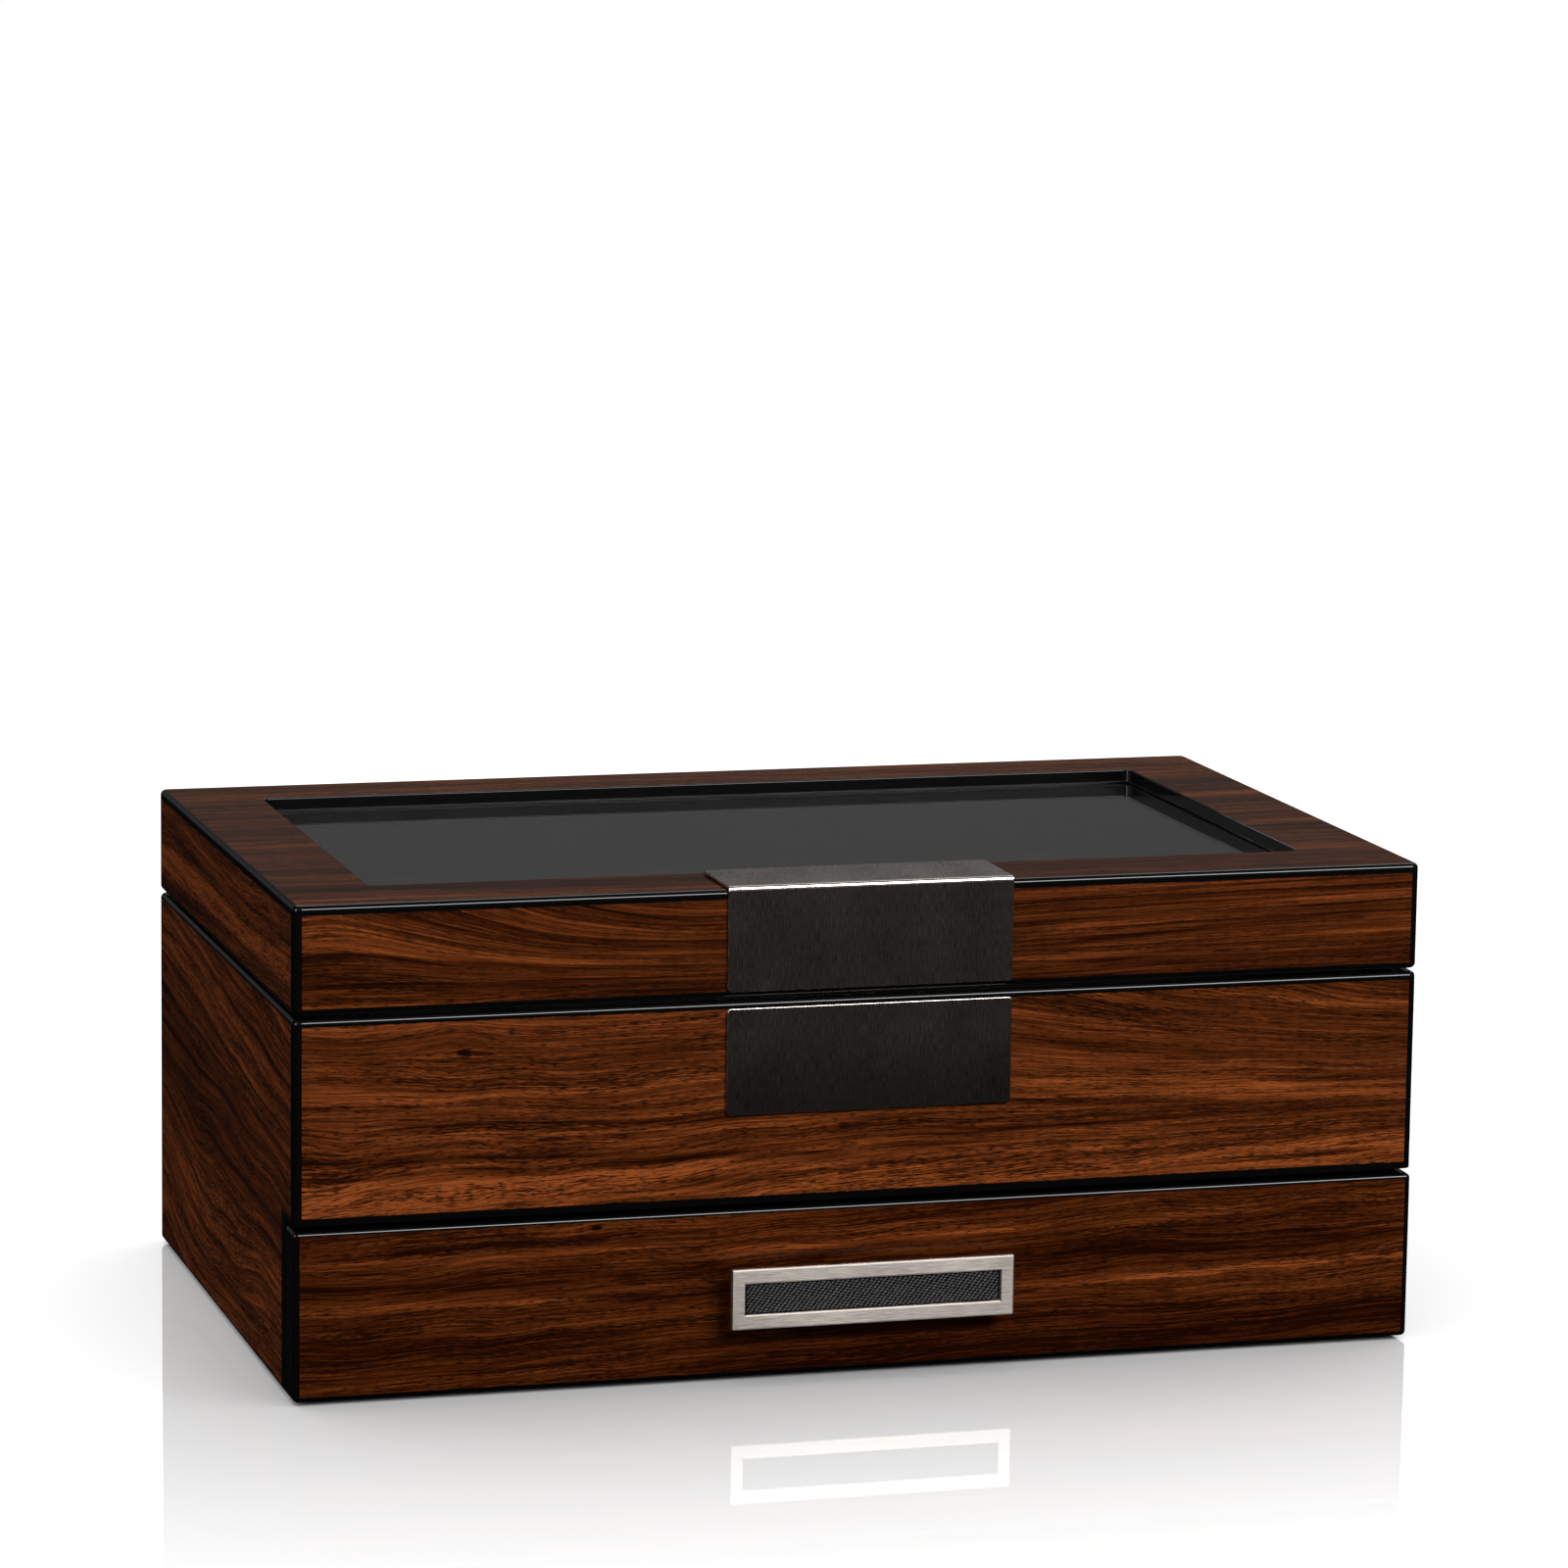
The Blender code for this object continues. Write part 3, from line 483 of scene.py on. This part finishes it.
def make_case_shell():
    shell = block("case_shell", CASE_LOW, CASE_HIGH, CORNER_ROUND, ARRIS_ROUND)
    hollow = hollow_block(-OVER, CASE_HIGH.z + OVER)
    room = block("room", (-SIDE - OVER, FRONT - OVER, -OVER), (SIDE + OVER, NOTCH_Y, NOTCH_Z))
    carve(shell, [hollow, room])
    bake(bevel(shell, CASE_ROUND, 3))
    carve(shell, mortises("case_mortise", CASE_HIGH.z, -1))
    x, front, back, low, high = mm(SIDE, FRONT, BACK, CASE_LOW.z, CASE_HIGH.z)
    notch_y, notch_z = mm(NOTCH_Y, NOTCH_Z)
    side_low, side_high = (front + CORNER_BAND, low + BAND), (back - CORNER_BAND, high - BAND)
    notch = ((front - 10, low - 10), (notch_y + 4.0, notch_z + 2.0))
    front_sheet = veneer(
        "walnut_case_front", "x", "z", (BAND - x, notch_z + 2.2), (x - BAND, high - 2.2), 3,
        wave=9.0, ripple=4.0, tone=-0.03, knots=[(-120.5, 100.8, 2.3, 1.7)],
        fans=((0.065, 0.0, 58.0, 80.0), (0.04, -0.10, 64.0, 104.0)),
        bends=[(12.0, 20.0, 175.0, 72.0, 104.0)],
        stripes=[(0.34, -0.005, 76.5, 1.5, -PAST, -20), (0.40, 0.065, 68.0, 2.4, -PAST, 5),
                 (-0.36, -0.04, 65.2, 1.1, -PAST, 0), (-0.30, 0.015, 67.6, 0.8, -PAST, 30),
                 (0.28, -0.098, 117.5, 2.6, 40, PAST), (0.24, -0.072, 87.6, 2.0, 10, PAST),
                 (-0.36, 0.025, 69.6, 0.9, 20, PAST), (-0.26, 0.04, 59.0, 0.9, 10, PAST),
                 (0.47, 0.01, 59.5, 10.0, -PAST, PAST)])
    left_sheet = veneer(
        "walnut_case_left", "y", "z", side_low, side_high, 58,
        wave=(84.0, 45.0, 6.0, 34.0), ripple=5.0, tilt=-0.08, rings=0.5, tone=0.02, notch=notch,
        stripes=[(0.26, 0.0, 24.0, 17.0, -PAST, PAST)])
    right_sheet = veneer(
        "walnut_case_right", "y", "z", side_low, side_high, 71,
        wave=(88.0, 45.0, 6.0, 30.0), ripple=5.0, tilt=-0.08, rings=0.45, tone=0.02, notch=notch)
    back_sheet = veneer(
        "walnut_case_back", "x", "z", (CORNER_BAND - x, low + BAND), (x - CORNER_BAND, high - BAND),
        83, wave=16.0)
    face_materials(shell, {(1, -1, FRONT): front_sheet, (0, -1, -SIDE): left_sheet,
                           (0, 1, SIDE): right_sheet, (1, 1, BACK): back_sheet})
    return finish_piece(smooth(shell), "case", "walnut_lacquer", "case_carcass")


def make_lid_shell():
    shell = block("lid_shell", LID_LOW, LID_HIGH, CORNER_ROUND, ARRIS_ROUND)
    ceiling = LID_HIGH.z - 10 * MM
    hollow = hollow_block(LID_LOW.z - OVER, ceiling)
    inset = REBATE - FIT
    window = block("window", (GLASS_LOW.x + inset, GLASS_LOW.y + inset, ceiling - OVER),
                   (GLASS_HIGH.x - inset, GLASS_HIGH.y - inset, LID_HIGH.z + OVER), WINDOW_ROUND)
    rebate = block("rebate", (GLASS_LOW.x - FIT, GLASS_LOW.y - FIT, ceiling - OVER),
                   (GLASS_HIGH.x + FIT, GLASS_HIGH.y + FIT, GLASS_HIGH.z + FIT))
    carve(shell, [hollow, window, rebate])
    bake(bevel(shell, INNER_ROUND, 3))
    carve(shell, mortises("lid_mortise", LID_LOW.z, 1))
    x, front, back, low, high = mm(SIDE, FRONT, BACK, LID_LOW.z, LID_HIGH.z)
    front_sheet = veneer(
        "walnut_lid_front", "x", "z", (BAND - x, low + 2.0), (x - BAND, high - 2.8), 5,
        wave=8.0, ripple=2.5, rings=0.5, tone=-0.06,
        fans=((0.0, 0.0, 115.0, 140.0), (0.03, 0.08, 115.0, 135.0)),
        bends=[(60.0, -165.0, -40.0, 112.0, 152.0)],
        stripes=[(-0.30, 0.07, 121.0, 1.0, 40, PAST), (-0.25, 0.05, 117.0, 0.8, 60, PAST),
                 (0.25, 0.06, 126.5, 1.6, 50, PAST)])
    side_low, side_high = (front + CORNER_BAND, low + BAND), (back - CORNER_BAND, high - 2.9)
    left_sheet = veneer(
        "walnut_lid_left", "y", "z", side_low, side_high, 91, ripple=2.5, rings=0.2,
        stripes=[(0.85, 0.01, 125.0, 3.6, -120, 120), (-0.40, -0.02, 118.5, 2.2, -120, 120)])
    right_sheet = veneer(
        "walnut_lid_right", "y", "z", side_low, side_high, 97, ripple=3.0, tilt=-0.06)
    back_sheet = veneer(
        "walnut_lid_back", "x", "z", (CORNER_BAND - x, low + BAND), (x - CORNER_BAND, high - BAND),
        12, wave=12.0)
    # The lid's top has painted light: a tint that makes it lighter and cooler, standing in for light
    # and the grey sheen on its lacquer.
    top_sheet = veneer(
        "walnut_lid_top", "x", "y", (TOP_BAND - x, front + TOP_BAND), (x - TOP_BAND, back - TOP_BAND),
        17, wave=8.0, ripple=1.5, rings=0.15, tone=-0.12, painted_light_tint=(0.95, 1.1, 1.35), coat=0.55)
    face_materials(shell, {(1, -1, FRONT): front_sheet, (0, -1, -SIDE): left_sheet,
                           (0, 1, SIDE): right_sheet, (1, 1, BACK): back_sheet,
                           (2, 1, LID_HIGH.z): top_sheet})
    return finish_piece(smooth(shell), "lid", "walnut_lacquer", "lid_frame")


def make_drawer_face():
    shell = block("drawer_face", DRAWER_LOW, DRAWER_HIGH, ARRIS_ROUND, ARRIS_ROUND)
    x, low, high = mm(SIDE, DRAWER_LOW.z, DRAWER_HIGH.z)
    sheet = veneer(
        "walnut_drawer_front", "x", "z", (1.9 - x, low + 1.4), (x - 1.9, high - 1.5), 29,
        wave=9.0, tilt=-0.03, rings=0.25, tone=-0.16, coat=0.5, haze=0.16,
        knots=[(-81.0, high - 3.2, 1.9, 1.0)],
        stripes=[(0.34, 0.0, 41.0, 1.6, -PAST, -60), (0.42, 0.0, 26.5, 1.6, -PAST, -80),
                 (0.34, 0.02, 39.5, 1.4, -60, 120), (0.42, 0.03, 21.5, 1.2, 50, PAST),
                 (-0.26, 0.0, 33.0, 2.2, -PAST, PAST), (-0.18, 0.0, 9.0, 7.0, -PAST, PAST)])
    face_materials(shell, {(1, -1, FRONT): sheet})
    return finish_piece(smooth(shell), "drawer", "walnut_lacquer", "drawer_front")


def finish_piece(piece, body, slot, *nodes):
    """Rides with its body and stands for its CAD nodes, which it hides. The slot is not used."""
    if nodes:
        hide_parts(*nodes)
    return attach(piece, body)


def nodes_named(*starts):
    return [name for name in NODES if name.startswith(starts)]


def give(material_made, *names):
    """A better material on CAD nodes whose shape is right."""
    for name in names:
        slots = NODES[name].material_slots
        if not slots:
            NODES[name].data.materials.append(material_made)
        for entry in slots:
            entry.material = material_made


# ---------------------------------------------------------------- other materials

PAINTED_SHADE_KEEP = 0.62  # share of its colour that the steel keeps at the dark end of its painted shade


def brushed_steel(name, lines, colour, roughness, contrast, stroke, painted_shade_heights=(0.0, 1.0)):
    """Steel with fine lines along one axis, x or z, each about as long as the stroke in millimetres.

    A painted shade darkens it downwards between two heights in millimetres, standing in for the dimmer
    light reflected low on the plate: none at the upper height, and down to the share of its colour set
    above at the lower height and under it.
    """
    made, n, shader = material(name, Metallic=1.0, Anisotropic=0.9)
    x, y, z = n.place()
    long, wide = (x, z) if lines == "x" else (n.math("SUBTRACT", z, y), x)

    def strokes(length, width, layer, **options):
        return n.noise(n.math("DIVIDE", long, length), n.math("DIVIDE", wide, width), layer, **options)

    hair = strokes(stroke, 0.24, 0.0, detail=3.0, roughness=0.7)
    level = n.math("MULTIPLY_ADD", n.centred(strokes(30.0, 0.9, 7.0)), 0.12, n.centred(hair))
    level = n.math("MULTIPLY_ADD", n.centred(strokes(30.0, 24.0, 4.0)), 0.3, level)
    bright = n.math("MULTIPLY_ADD", level, contrast, 1.0)
    # Painted shade: the colour darkens towards the bottom between the two heights.
    bright = n.math("MULTIPLY", bright, n.remap(z, *painted_shade_heights, PAINTED_SHADE_KEEP, 1.0, smooth=True))
    n.put(n.shaded(colour, bright), shader.inputs["Base Color"])
    n.put(n.math("MULTIPLY_ADD", level, 0.25, roughness), shader.inputs["Roughness"])
    n.put(n.bump(hair, 0.002 * MM), shader.inputs["Normal"])
    across = (0.0, 0.0, 1.0) if lines == "x" else (1.0, 0.0, 0.0)
    n.put(n.vector(*across), shader.inputs["Tangent"])
    return made


def plain(name, colour, roughness, grain=0.6, depth=0.02 * MM, **sockets):
    """A material with a fine even grain: felt, moulded plastic, plated steel or painted board."""
    made, n, shader = material(name, Roughness=roughness, **sockets)
    fine = n.even_noise(n.place(), grain, detail=3.0, roughness=0.6)
    n.put(n.shaded(colour, n.remap(fine, 0.25, 0.75, 0.75, 1.25)), shader.inputs["Base Color"])
    n.put(n.bump(fine, depth), shader.inputs["Normal"])
    return made


def velour(name, colour):
    """Short-pile cloth: matt, with a soft sheen and the patches that fingers leave in the pile."""
    made, n, shader = material(name, Roughness=0.95, Sheen_Weight=0.35, Sheen_Roughness=0.4,
                               Sheen_Tint=(0.75, 0.77, 0.82, 1.0), Specular_IOR_Level=0.1)
    place = n.place()
    pile = n.even_noise(place, 0.45, detail=3.0, roughness=0.7)
    patch = n.even_noise(place, 16.0, detail=3.0)
    level = n.math("ADD", n.remap(pile, 0.3, 0.7, 0.7, 1.3), n.remap(patch, 0.35, 0.65, -0.22, 0.22))
    n.put(n.shaded(colour, level), shader.inputs["Base Color"])
    n.put(n.bump(pile, 0.12 * MM), shader.inputs["Normal"])
    return made


# Pressed leather: its pitches in millimetres, and its colours, with painted shade in the grooves and a
# painted highlight on the ridges.
RIDGE_PITCH = 1.45
BEAD_PITCH = 0.85
GROOVE_PAINTED_SHADE = (0.0005, 0.0005, 0.001, 1.0)
RIDGE_PAINTED_HIGHLIGHT = (0.21, 0.20, 0.215, 1.0)


def saffiano():
    """Black leather pressed with fine crossed ridges, with painted shade in its grooves and a painted
    highlight on its ridges.
    """
    made, n, shader = material("saffiano_leather", Roughness=0.38, Specular_IOR_Level=0.6)
    x, y, z = n.place()

    def wave(along):
        return n.math("ABSOLUTE", n.math("SINE", n.math("MULTIPLY", along, pi)))

    wobble = n.noise(n.math("DIVIDE", x, 1.5), n.math("DIVIDE", z, 1.5), 0.0)
    rising = n.math("DIVIDE", n.math("MULTIPLY_ADD", z, -0.8, x), RIDGE_PITCH)
    crossing = n.math("DIVIDE", n.math("MULTIPLY_ADD", x, 0.22, z), BEAD_PITCH)
    ridge = wave(n.math("MULTIPLY_ADD", wobble, 0.7, rising))
    height = n.math("MULTIPLY_ADD", wave(crossing), 0.55, ridge)
    # Painted shade and highlight: black in the grooves and grey on the ridges, by the height of the
    # pressing.
    n.put(n.mix(n.remap(height, 0.82, 1.5), GROOVE_PAINTED_SHADE, RIDGE_PAINTED_HIGHLIGHT), shader.inputs["Base Color"])
    n.put(n.bump(height, 0.45 * MM), shader.inputs["Normal"])
    return made


def clear_glass():
    return material("clear_glass", Base_Color=(1.0, 1.0, 1.0, 1.0), Roughness=0.01, IOR=1.5,
                    Transmission_Weight=1.0)[0]


# ---------------------------------------------------------------- cushions

CUSHION = Vector((53.6, 79.6, 43.4)) * MM  # as it lies in its compartment
CUSHION_ROUND = 11 * MM
SWELL = 4 * MM  # the most that any point moves when the cushion is filled
UNDERSIZE = 0.8  # of the swell, by which the block starts smaller on each side
SEAM_INSET = 5.5 * MM  # from the seam round each end to that end
GROOVE_DEPTH, GROOVE_WIDTH = 1.1 * MM, 1.6 * MM
FOLD_DEPTH, FOLD_REACH = 0.35 * MM, 7.0 * MM
FOLDS = 26  # round one seam
SINK = 0.6 * MM  # how far a cushion is pressed flat on the floor of its compartment


def filled(name, pressure, lean):
    """A cushion cover blown up from a smaller rounded block, centred on its origin.

    lean tilts its upright sides a little, so that the covers differ.
    """
    start = CUSHION - 2 * Vector((SWELL, SWELL, SWELL)) * UNDERSIZE
    blank = block(name, -start / 2, start / 2, CUSHION_ROUND, CUSHION_ROUND * 0.8, 4, 4)
    remesh = blank.modifiers.new("remesh", "REMESH")
    remesh.mode = "VOXEL"
    remesh.voxel_size = 4 * MM
    bake(blank)
    before = coordinates(blank.data)
    cloth = blank.modifiers.new("cloth", "CLOTH")
    cloth.settings.quality = 5
    cloth.settings.mass = 0.3
    cloth.settings.use_pressure = True
    cloth.settings.uniform_pressure_force = pressure
    cloth.settings.effector_weights.gravity = 0.0
    for frame_number in range(1, 21):
        bpy.context.scene.frame_set(frame_number)
    bake(blank)
    bpy.context.scene.frame_set(1)
    moved = coordinates(blank.data) - before
    length = np.linalg.norm(moved, axis=1, keepdims=True)
    place = before + moved * np.minimum(1.0, SWELL / np.maximum(length, TINY))
    place[:, 0] += lean * place[:, 2]
    blank.data.vertices.foreach_set("co", place.ravel())
    finer = blank.modifiers.new("finer", "SUBSURF")
    finer.levels = finer.render_levels = 1
    bake(blank)
    place = coordinates(blank.data)
    half = np.array(CUSHION) / 2
    place *= half / np.abs(place).max(axis=0)
    draw_in(place, half)
    blank.data.vertices.foreach_set("co", place.ravel())
    blank.data.shade_smooth()
    return blank


def coordinates(mesh):
    place = np.empty(len(mesh.vertices) * 3)
    mesh.vertices.foreach_get("co", place)
    return place.reshape(-1, 3)


def draw_in(place, half):
    """Sewing: a seam round each end pulls the cover in and gathers it in small folds."""
    beside = half[0] - SEAM_INSET - np.abs(place[:, 0])
    around = np.arctan2(place[:, 2] / half[2], place[:, 1] / half[1])
    groove = GROOVE_DEPTH * np.exp(-(beside / GROOVE_WIDTH) ** 2)
    slant = 9 * place[:, 0] / half[0]
    folds = FOLD_DEPTH * np.exp(-(beside / FOLD_REACH) ** 2) * np.sin(FOLDS * around + slant)
    out = place.copy()
    out[:, 0] = 0.0
    out /= np.maximum(np.linalg.norm(out, axis=1, keepdims=True), TINY)
    place -= out * (groove + np.maximum(folds, 0.0))[:, None]


def make_cushions():
    fillings = ((4.0, 0.0), (4.6, 0.012), (3.6, -0.014))
    variants = [filled(f"cover_{index}", *filling) for index, filling in enumerate(fillings)]
    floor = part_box("deck_board")[1].z + FIT
    for number, node in enumerate(CUSHIONS):
        low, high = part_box(node)
        mesh = variants[(number * 2 + number // 5) % 3].data.copy()
        piece = in_scene(f"padded_{node}", mesh)
        if number % 2:
            mesh.transform(Matrix.Rotation(pi, 4, "Z"))
        centre = (low + high) / 2
        mesh.transform(Matrix.Translation((centre.x, centre.y, floor + CUSHION.z / 2 - SINK)))
        place = coordinates(mesh)
        place[:, 2] = np.maximum(place[:, 2], floor)
        mesh.vertices.foreach_set("co", place.ravel())
        mesh.materials.append(CUSHION_CLOTH)
        finish_piece(piece, "case", "cushion_velour", node)
    for variant in variants:
        bpy.data.objects.remove(variant, do_unlink=True)


# ---------------------------------------------------------------- stage, lights and camera

FLOOR_SHINE = 0.42  # share of the mirror beside the box
FLOOR_FADE = 400.0  # millimetres from the box to where the mirror ends


def make_floor():
    """A polished white floor: it mirrors the box faintly, most of all next to it."""
    bm = bmesh.new()
    bmesh.ops.create_grid(bm, x_segments=1, y_segments=1, size=6.0)
    floor = to_object("floor", bm)
    made = bpy.data.materials.new("white_floor")
    made.use_nodes = True
    n = Nodes(made.node_tree)
    made.node_tree.nodes.remove(made.node_tree.nodes["Principled BSDF"])
    x, y, z = n.place()
    front, back = mm(FRONT, BACK)

    def outside(value, half):
        return n.math("MAXIMUM", n.math("SUBTRACT", n.math("ABSOLUTE", value), half), 0.0)

    out_x = outside(x, SIDE / MM)
    out_y = outside(n.math("SUBTRACT", y, (front + back) / 2), (back - front) / 2)
    away = n.math("SQRT", n.math("ADD", n.math("POWER", out_x, 2.0), n.math("POWER", out_y, 2.0)))
    matt = n.add("BsdfDiffuse")
    matt.inputs["Color"].default_value = (0.9, 0.9, 0.9, 1.0)
    mirror = n.add("BsdfGlossy")
    mirror.inputs["Roughness"].default_value = 0.0
    mirror.inputs["Color"].default_value = (1.0, 1.0, 1.0, 1.0)
    both = n.add("MixShader")
    n.put(n.remap(away, 0.0, FLOOR_FADE, FLOOR_SHINE, 0.0), both.inputs[0])
    n.put(matt.outputs[0], both.inputs[1])
    n.put(mirror.outputs[0], both.inputs[2])
    n.put(both.outputs[0], made.node_tree.nodes["Material Output"].inputs["Surface"])
    floor.data.materials.append(made)
    floor.visible_glossy = False
    floor.visible_diffuse = False
    return floor


# The dim studio's walls, from low to high, behind the box and before it.
STUDIO_BEHIND = [
    (0.00, (0.004, 0.004, 0.004)),
    (0.40, (0.006, 0.006, 0.006)),
    (0.55, (0.075, 0.074, 0.073)),
    (0.66, (0.097, 0.095, 0.094)),
    (0.70, (0.090, 0.088, 0.087)),
    (0.80, (0.030, 0.030, 0.030)),
    (1.00, (0.025, 0.025, 0.025)),
]
STUDIO_BEFORE = [
    (0.00, (0.008, 0.008, 0.008)),
    (0.27, (0.018, 0.018, 0.018)),
    (0.38, (0.040, 0.037, 0.035)),
    (0.60, (0.080, 0.080, 0.080)),
    (1.00, (0.100, 0.100, 0.100)),
]


def make_world():
    """White to the camera and in the floor's mirror, a dim studio to everything else."""
    world = bpy.data.worlds.new("studio")
    bpy.context.scene.world = world
    world.use_nodes = True
    n = Nodes(world.node_tree)
    background = world.node_tree.nodes["Background"]
    path = n.add("LightPath").outputs
    reflected = n.math("ADD", path["Glossy Depth"], path["Diffuse Depth"])
    through = n.math("SUBTRACT", path["Is Transmission Ray"], reflected, clamp=True)
    plain_view = n.math("MAXIMUM", path["Is Camera Ray"], path["Is Singular Ray"])
    plain_view = n.math("MAXIMUM", plain_view, through)
    direction = n.add("SeparateXYZ")
    n.put(n.add("TexCoord").outputs["Generated"], direction.inputs[0])
    height = n.remap(direction.outputs[2], -0.5, 0.5)
    behind, before = n.ramp(height, STUDIO_BEHIND), n.ramp(height, STUDIO_BEFORE)
    dim = n.mix(n.remap(direction.outputs[1], -0.3, 0.3), before, behind)
    n.put(n.mix(plain_view, dim, (1.0, 1.0, 1.0, 1.0)), background.inputs["Color"])


def area_light(name, where, size, power, aim=(0.0, 0.0, 0.07)):
    light = bpy.data.lights.new(name, "AREA")
    light.shape = "RECTANGLE"
    light.size, light.size_y = size
    light.energy = power
    made = in_scene(name, light)
    made.location = where
    made.rotation_euler = (Vector(aim) - Vector(where)).to_track_quat("-Z", "Y").to_euler()
    return made


def link_light(light, things, state):
    """Light linking: INCLUDE lights only these things, EXCLUDE lights all but them."""
    receivers = bpy.data.collections.new(f"{light.name}_receivers")
    for thing in things:
        receivers.objects.link(thing)
    light.light_linking.receiver_collection = receivers
    for entry in receivers.collection_objects:
        entry.light_linking.link_state = state


def make_lights(floor):
    """Three softboxes for the box, one more for its plates alone, and a sky for the floor alone."""
    for light in (area_light("front_softbox", (0.6, -1.5, 1.15), (1.0, 0.5), 16.5),
                  area_light("back_strip", (0.55, 1.05, 1.15), (1.8, 0.9), 6.0, aim=(0.0, -0.1, 0.1)),
                  area_light("left_fill", (-1.6, -0.5, 0.6), (0.7, 1.0), 6.2)):
        link_light(light, [floor], "EXCLUDE")
    metal_strip = area_light("metal_strip", (0.3, -0.8, 1.5), (1.5, 0.8), 41.0)
    link_light(metal_strip, [NODES["lid_plate"], NODES["case_plate"]], "INCLUDE")
    sky = bpy.data.lights.new("floor_sky", "SUN")
    sky.angle = radians(150)
    sky.energy = 4.6
    link_light(in_scene("floor_sky", sky), [floor], "INCLUDE")


CAMERA_PLACE = Vector((-515.3, -1775.8, 463.2)) * MM
CAMERA_AZIMUTH = -16.26
CAMERA_ELEVATION = 9.37
CAMERA_ROLL = 0.78
CAMERA_LENS = 141.6


def make_camera():
    camera = bpy.data.cameras.new("camera")
    camera.lens = CAMERA_LENS
    camera.sensor_width = 36.0
    camera.clip_start, camera.clip_end = 0.1, 50.0
    made = in_scene("camera", camera)
    turn, rise = radians(CAMERA_AZIMUTH), radians(CAMERA_ELEVATION)
    back = Vector((sin(turn) * cos(rise), -cos(turn) * cos(rise), sin(rise)))
    roll = Quaternion((0.0, 0.0, 1.0), radians(CAMERA_ROLL))
    made.rotation_mode = "QUATERNION"
    made.rotation_quaternion = (-back).to_track_quat("-Z", "Y") @ roll
    made.location = CAMERA_PLACE
    bpy.context.scene.camera = made


# ---------------------------------------------------------------- the whole scene

FIGURE = walnut_figure()
BLACK_LACQUER = black_lacquer()

make_case_shell()
make_lid_shell()
make_drawer_face()

CUSHIONS = nodes_named("cushion_")
SCREWS = [name for name in NODES if "_screw_" in name]

# The plates' steel has painted shade, darker from 104 mm down to 82 mm above the floor.
give(brushed_steel("plate_steel", "z", (0.54, 0.485, 0.445), roughness=0.30, contrast=2.6, stroke=3.5,
                   painted_shade_heights=(82.0, 104.0)), "lid_plate", "case_plate")
give(brushed_steel("handle_steel", "x", (0.63, 0.57, 0.515), roughness=0.44, contrast=2.0, stroke=7.0),
     "handle_frame")
give(saffiano(), "handle_inlay")
give(clear_glass(), "glass_pane")
give(velour("lining_velour", (0.012, 0.012, 0.013)), "deck_board", *nodes_named("lining_", "divider_"),
     *nodes_named("drawer_side", "drawer_back", "drawer_bottom", "drawer_divider"))
CUSHION_CLOTH = velour("cushion_velour", (0.02, 0.02, 0.022))
make_cushions()
give(plain("black_board", (0.006, 0.006, 0.006), 0.5), "base_board", *nodes_named("glass_strip"))
give(plain("plated_steel", (0.5, 0.49, 0.47), 0.25, Metallic=1.0, depth=0.002 * MM),
     *nodes_named("hinge_"), *SCREWS)
give(plain("felt", (0.015, 0.015, 0.015), 0.95, depth=0.2 * MM), *nodes_named("foot_"))
give(plain("soft_bumper", (0.02, 0.02, 0.02), 0.5, depth=0.01 * MM), *nodes_named("lid_bumper_"))
NODES["glass_pane"].visible_shadow = False

# The steel's ground edges catch the light.
POLISHED_EDGE = plain("ground_edge", (0.72, 0.69, 0.65), 0.58, Metallic=1.0, depth=0.002 * MM)
for plate, width in (("lid_plate", 0.28), ("case_plate", 0.28), ("handle_frame", 0.4)):
    edge = bevel(NODES[plate], width * MM, 3, angle=50).modifiers[-1]
    NODES[plate].data.materials.append(POLISHED_EDGE)
    edge.material = len(NODES[plate].data.materials) - 1

FLOOR = make_floor()
make_world()
make_lights(FLOOR)
make_camera()
bpy.context.scene.view_settings.view_transform = "Standard"
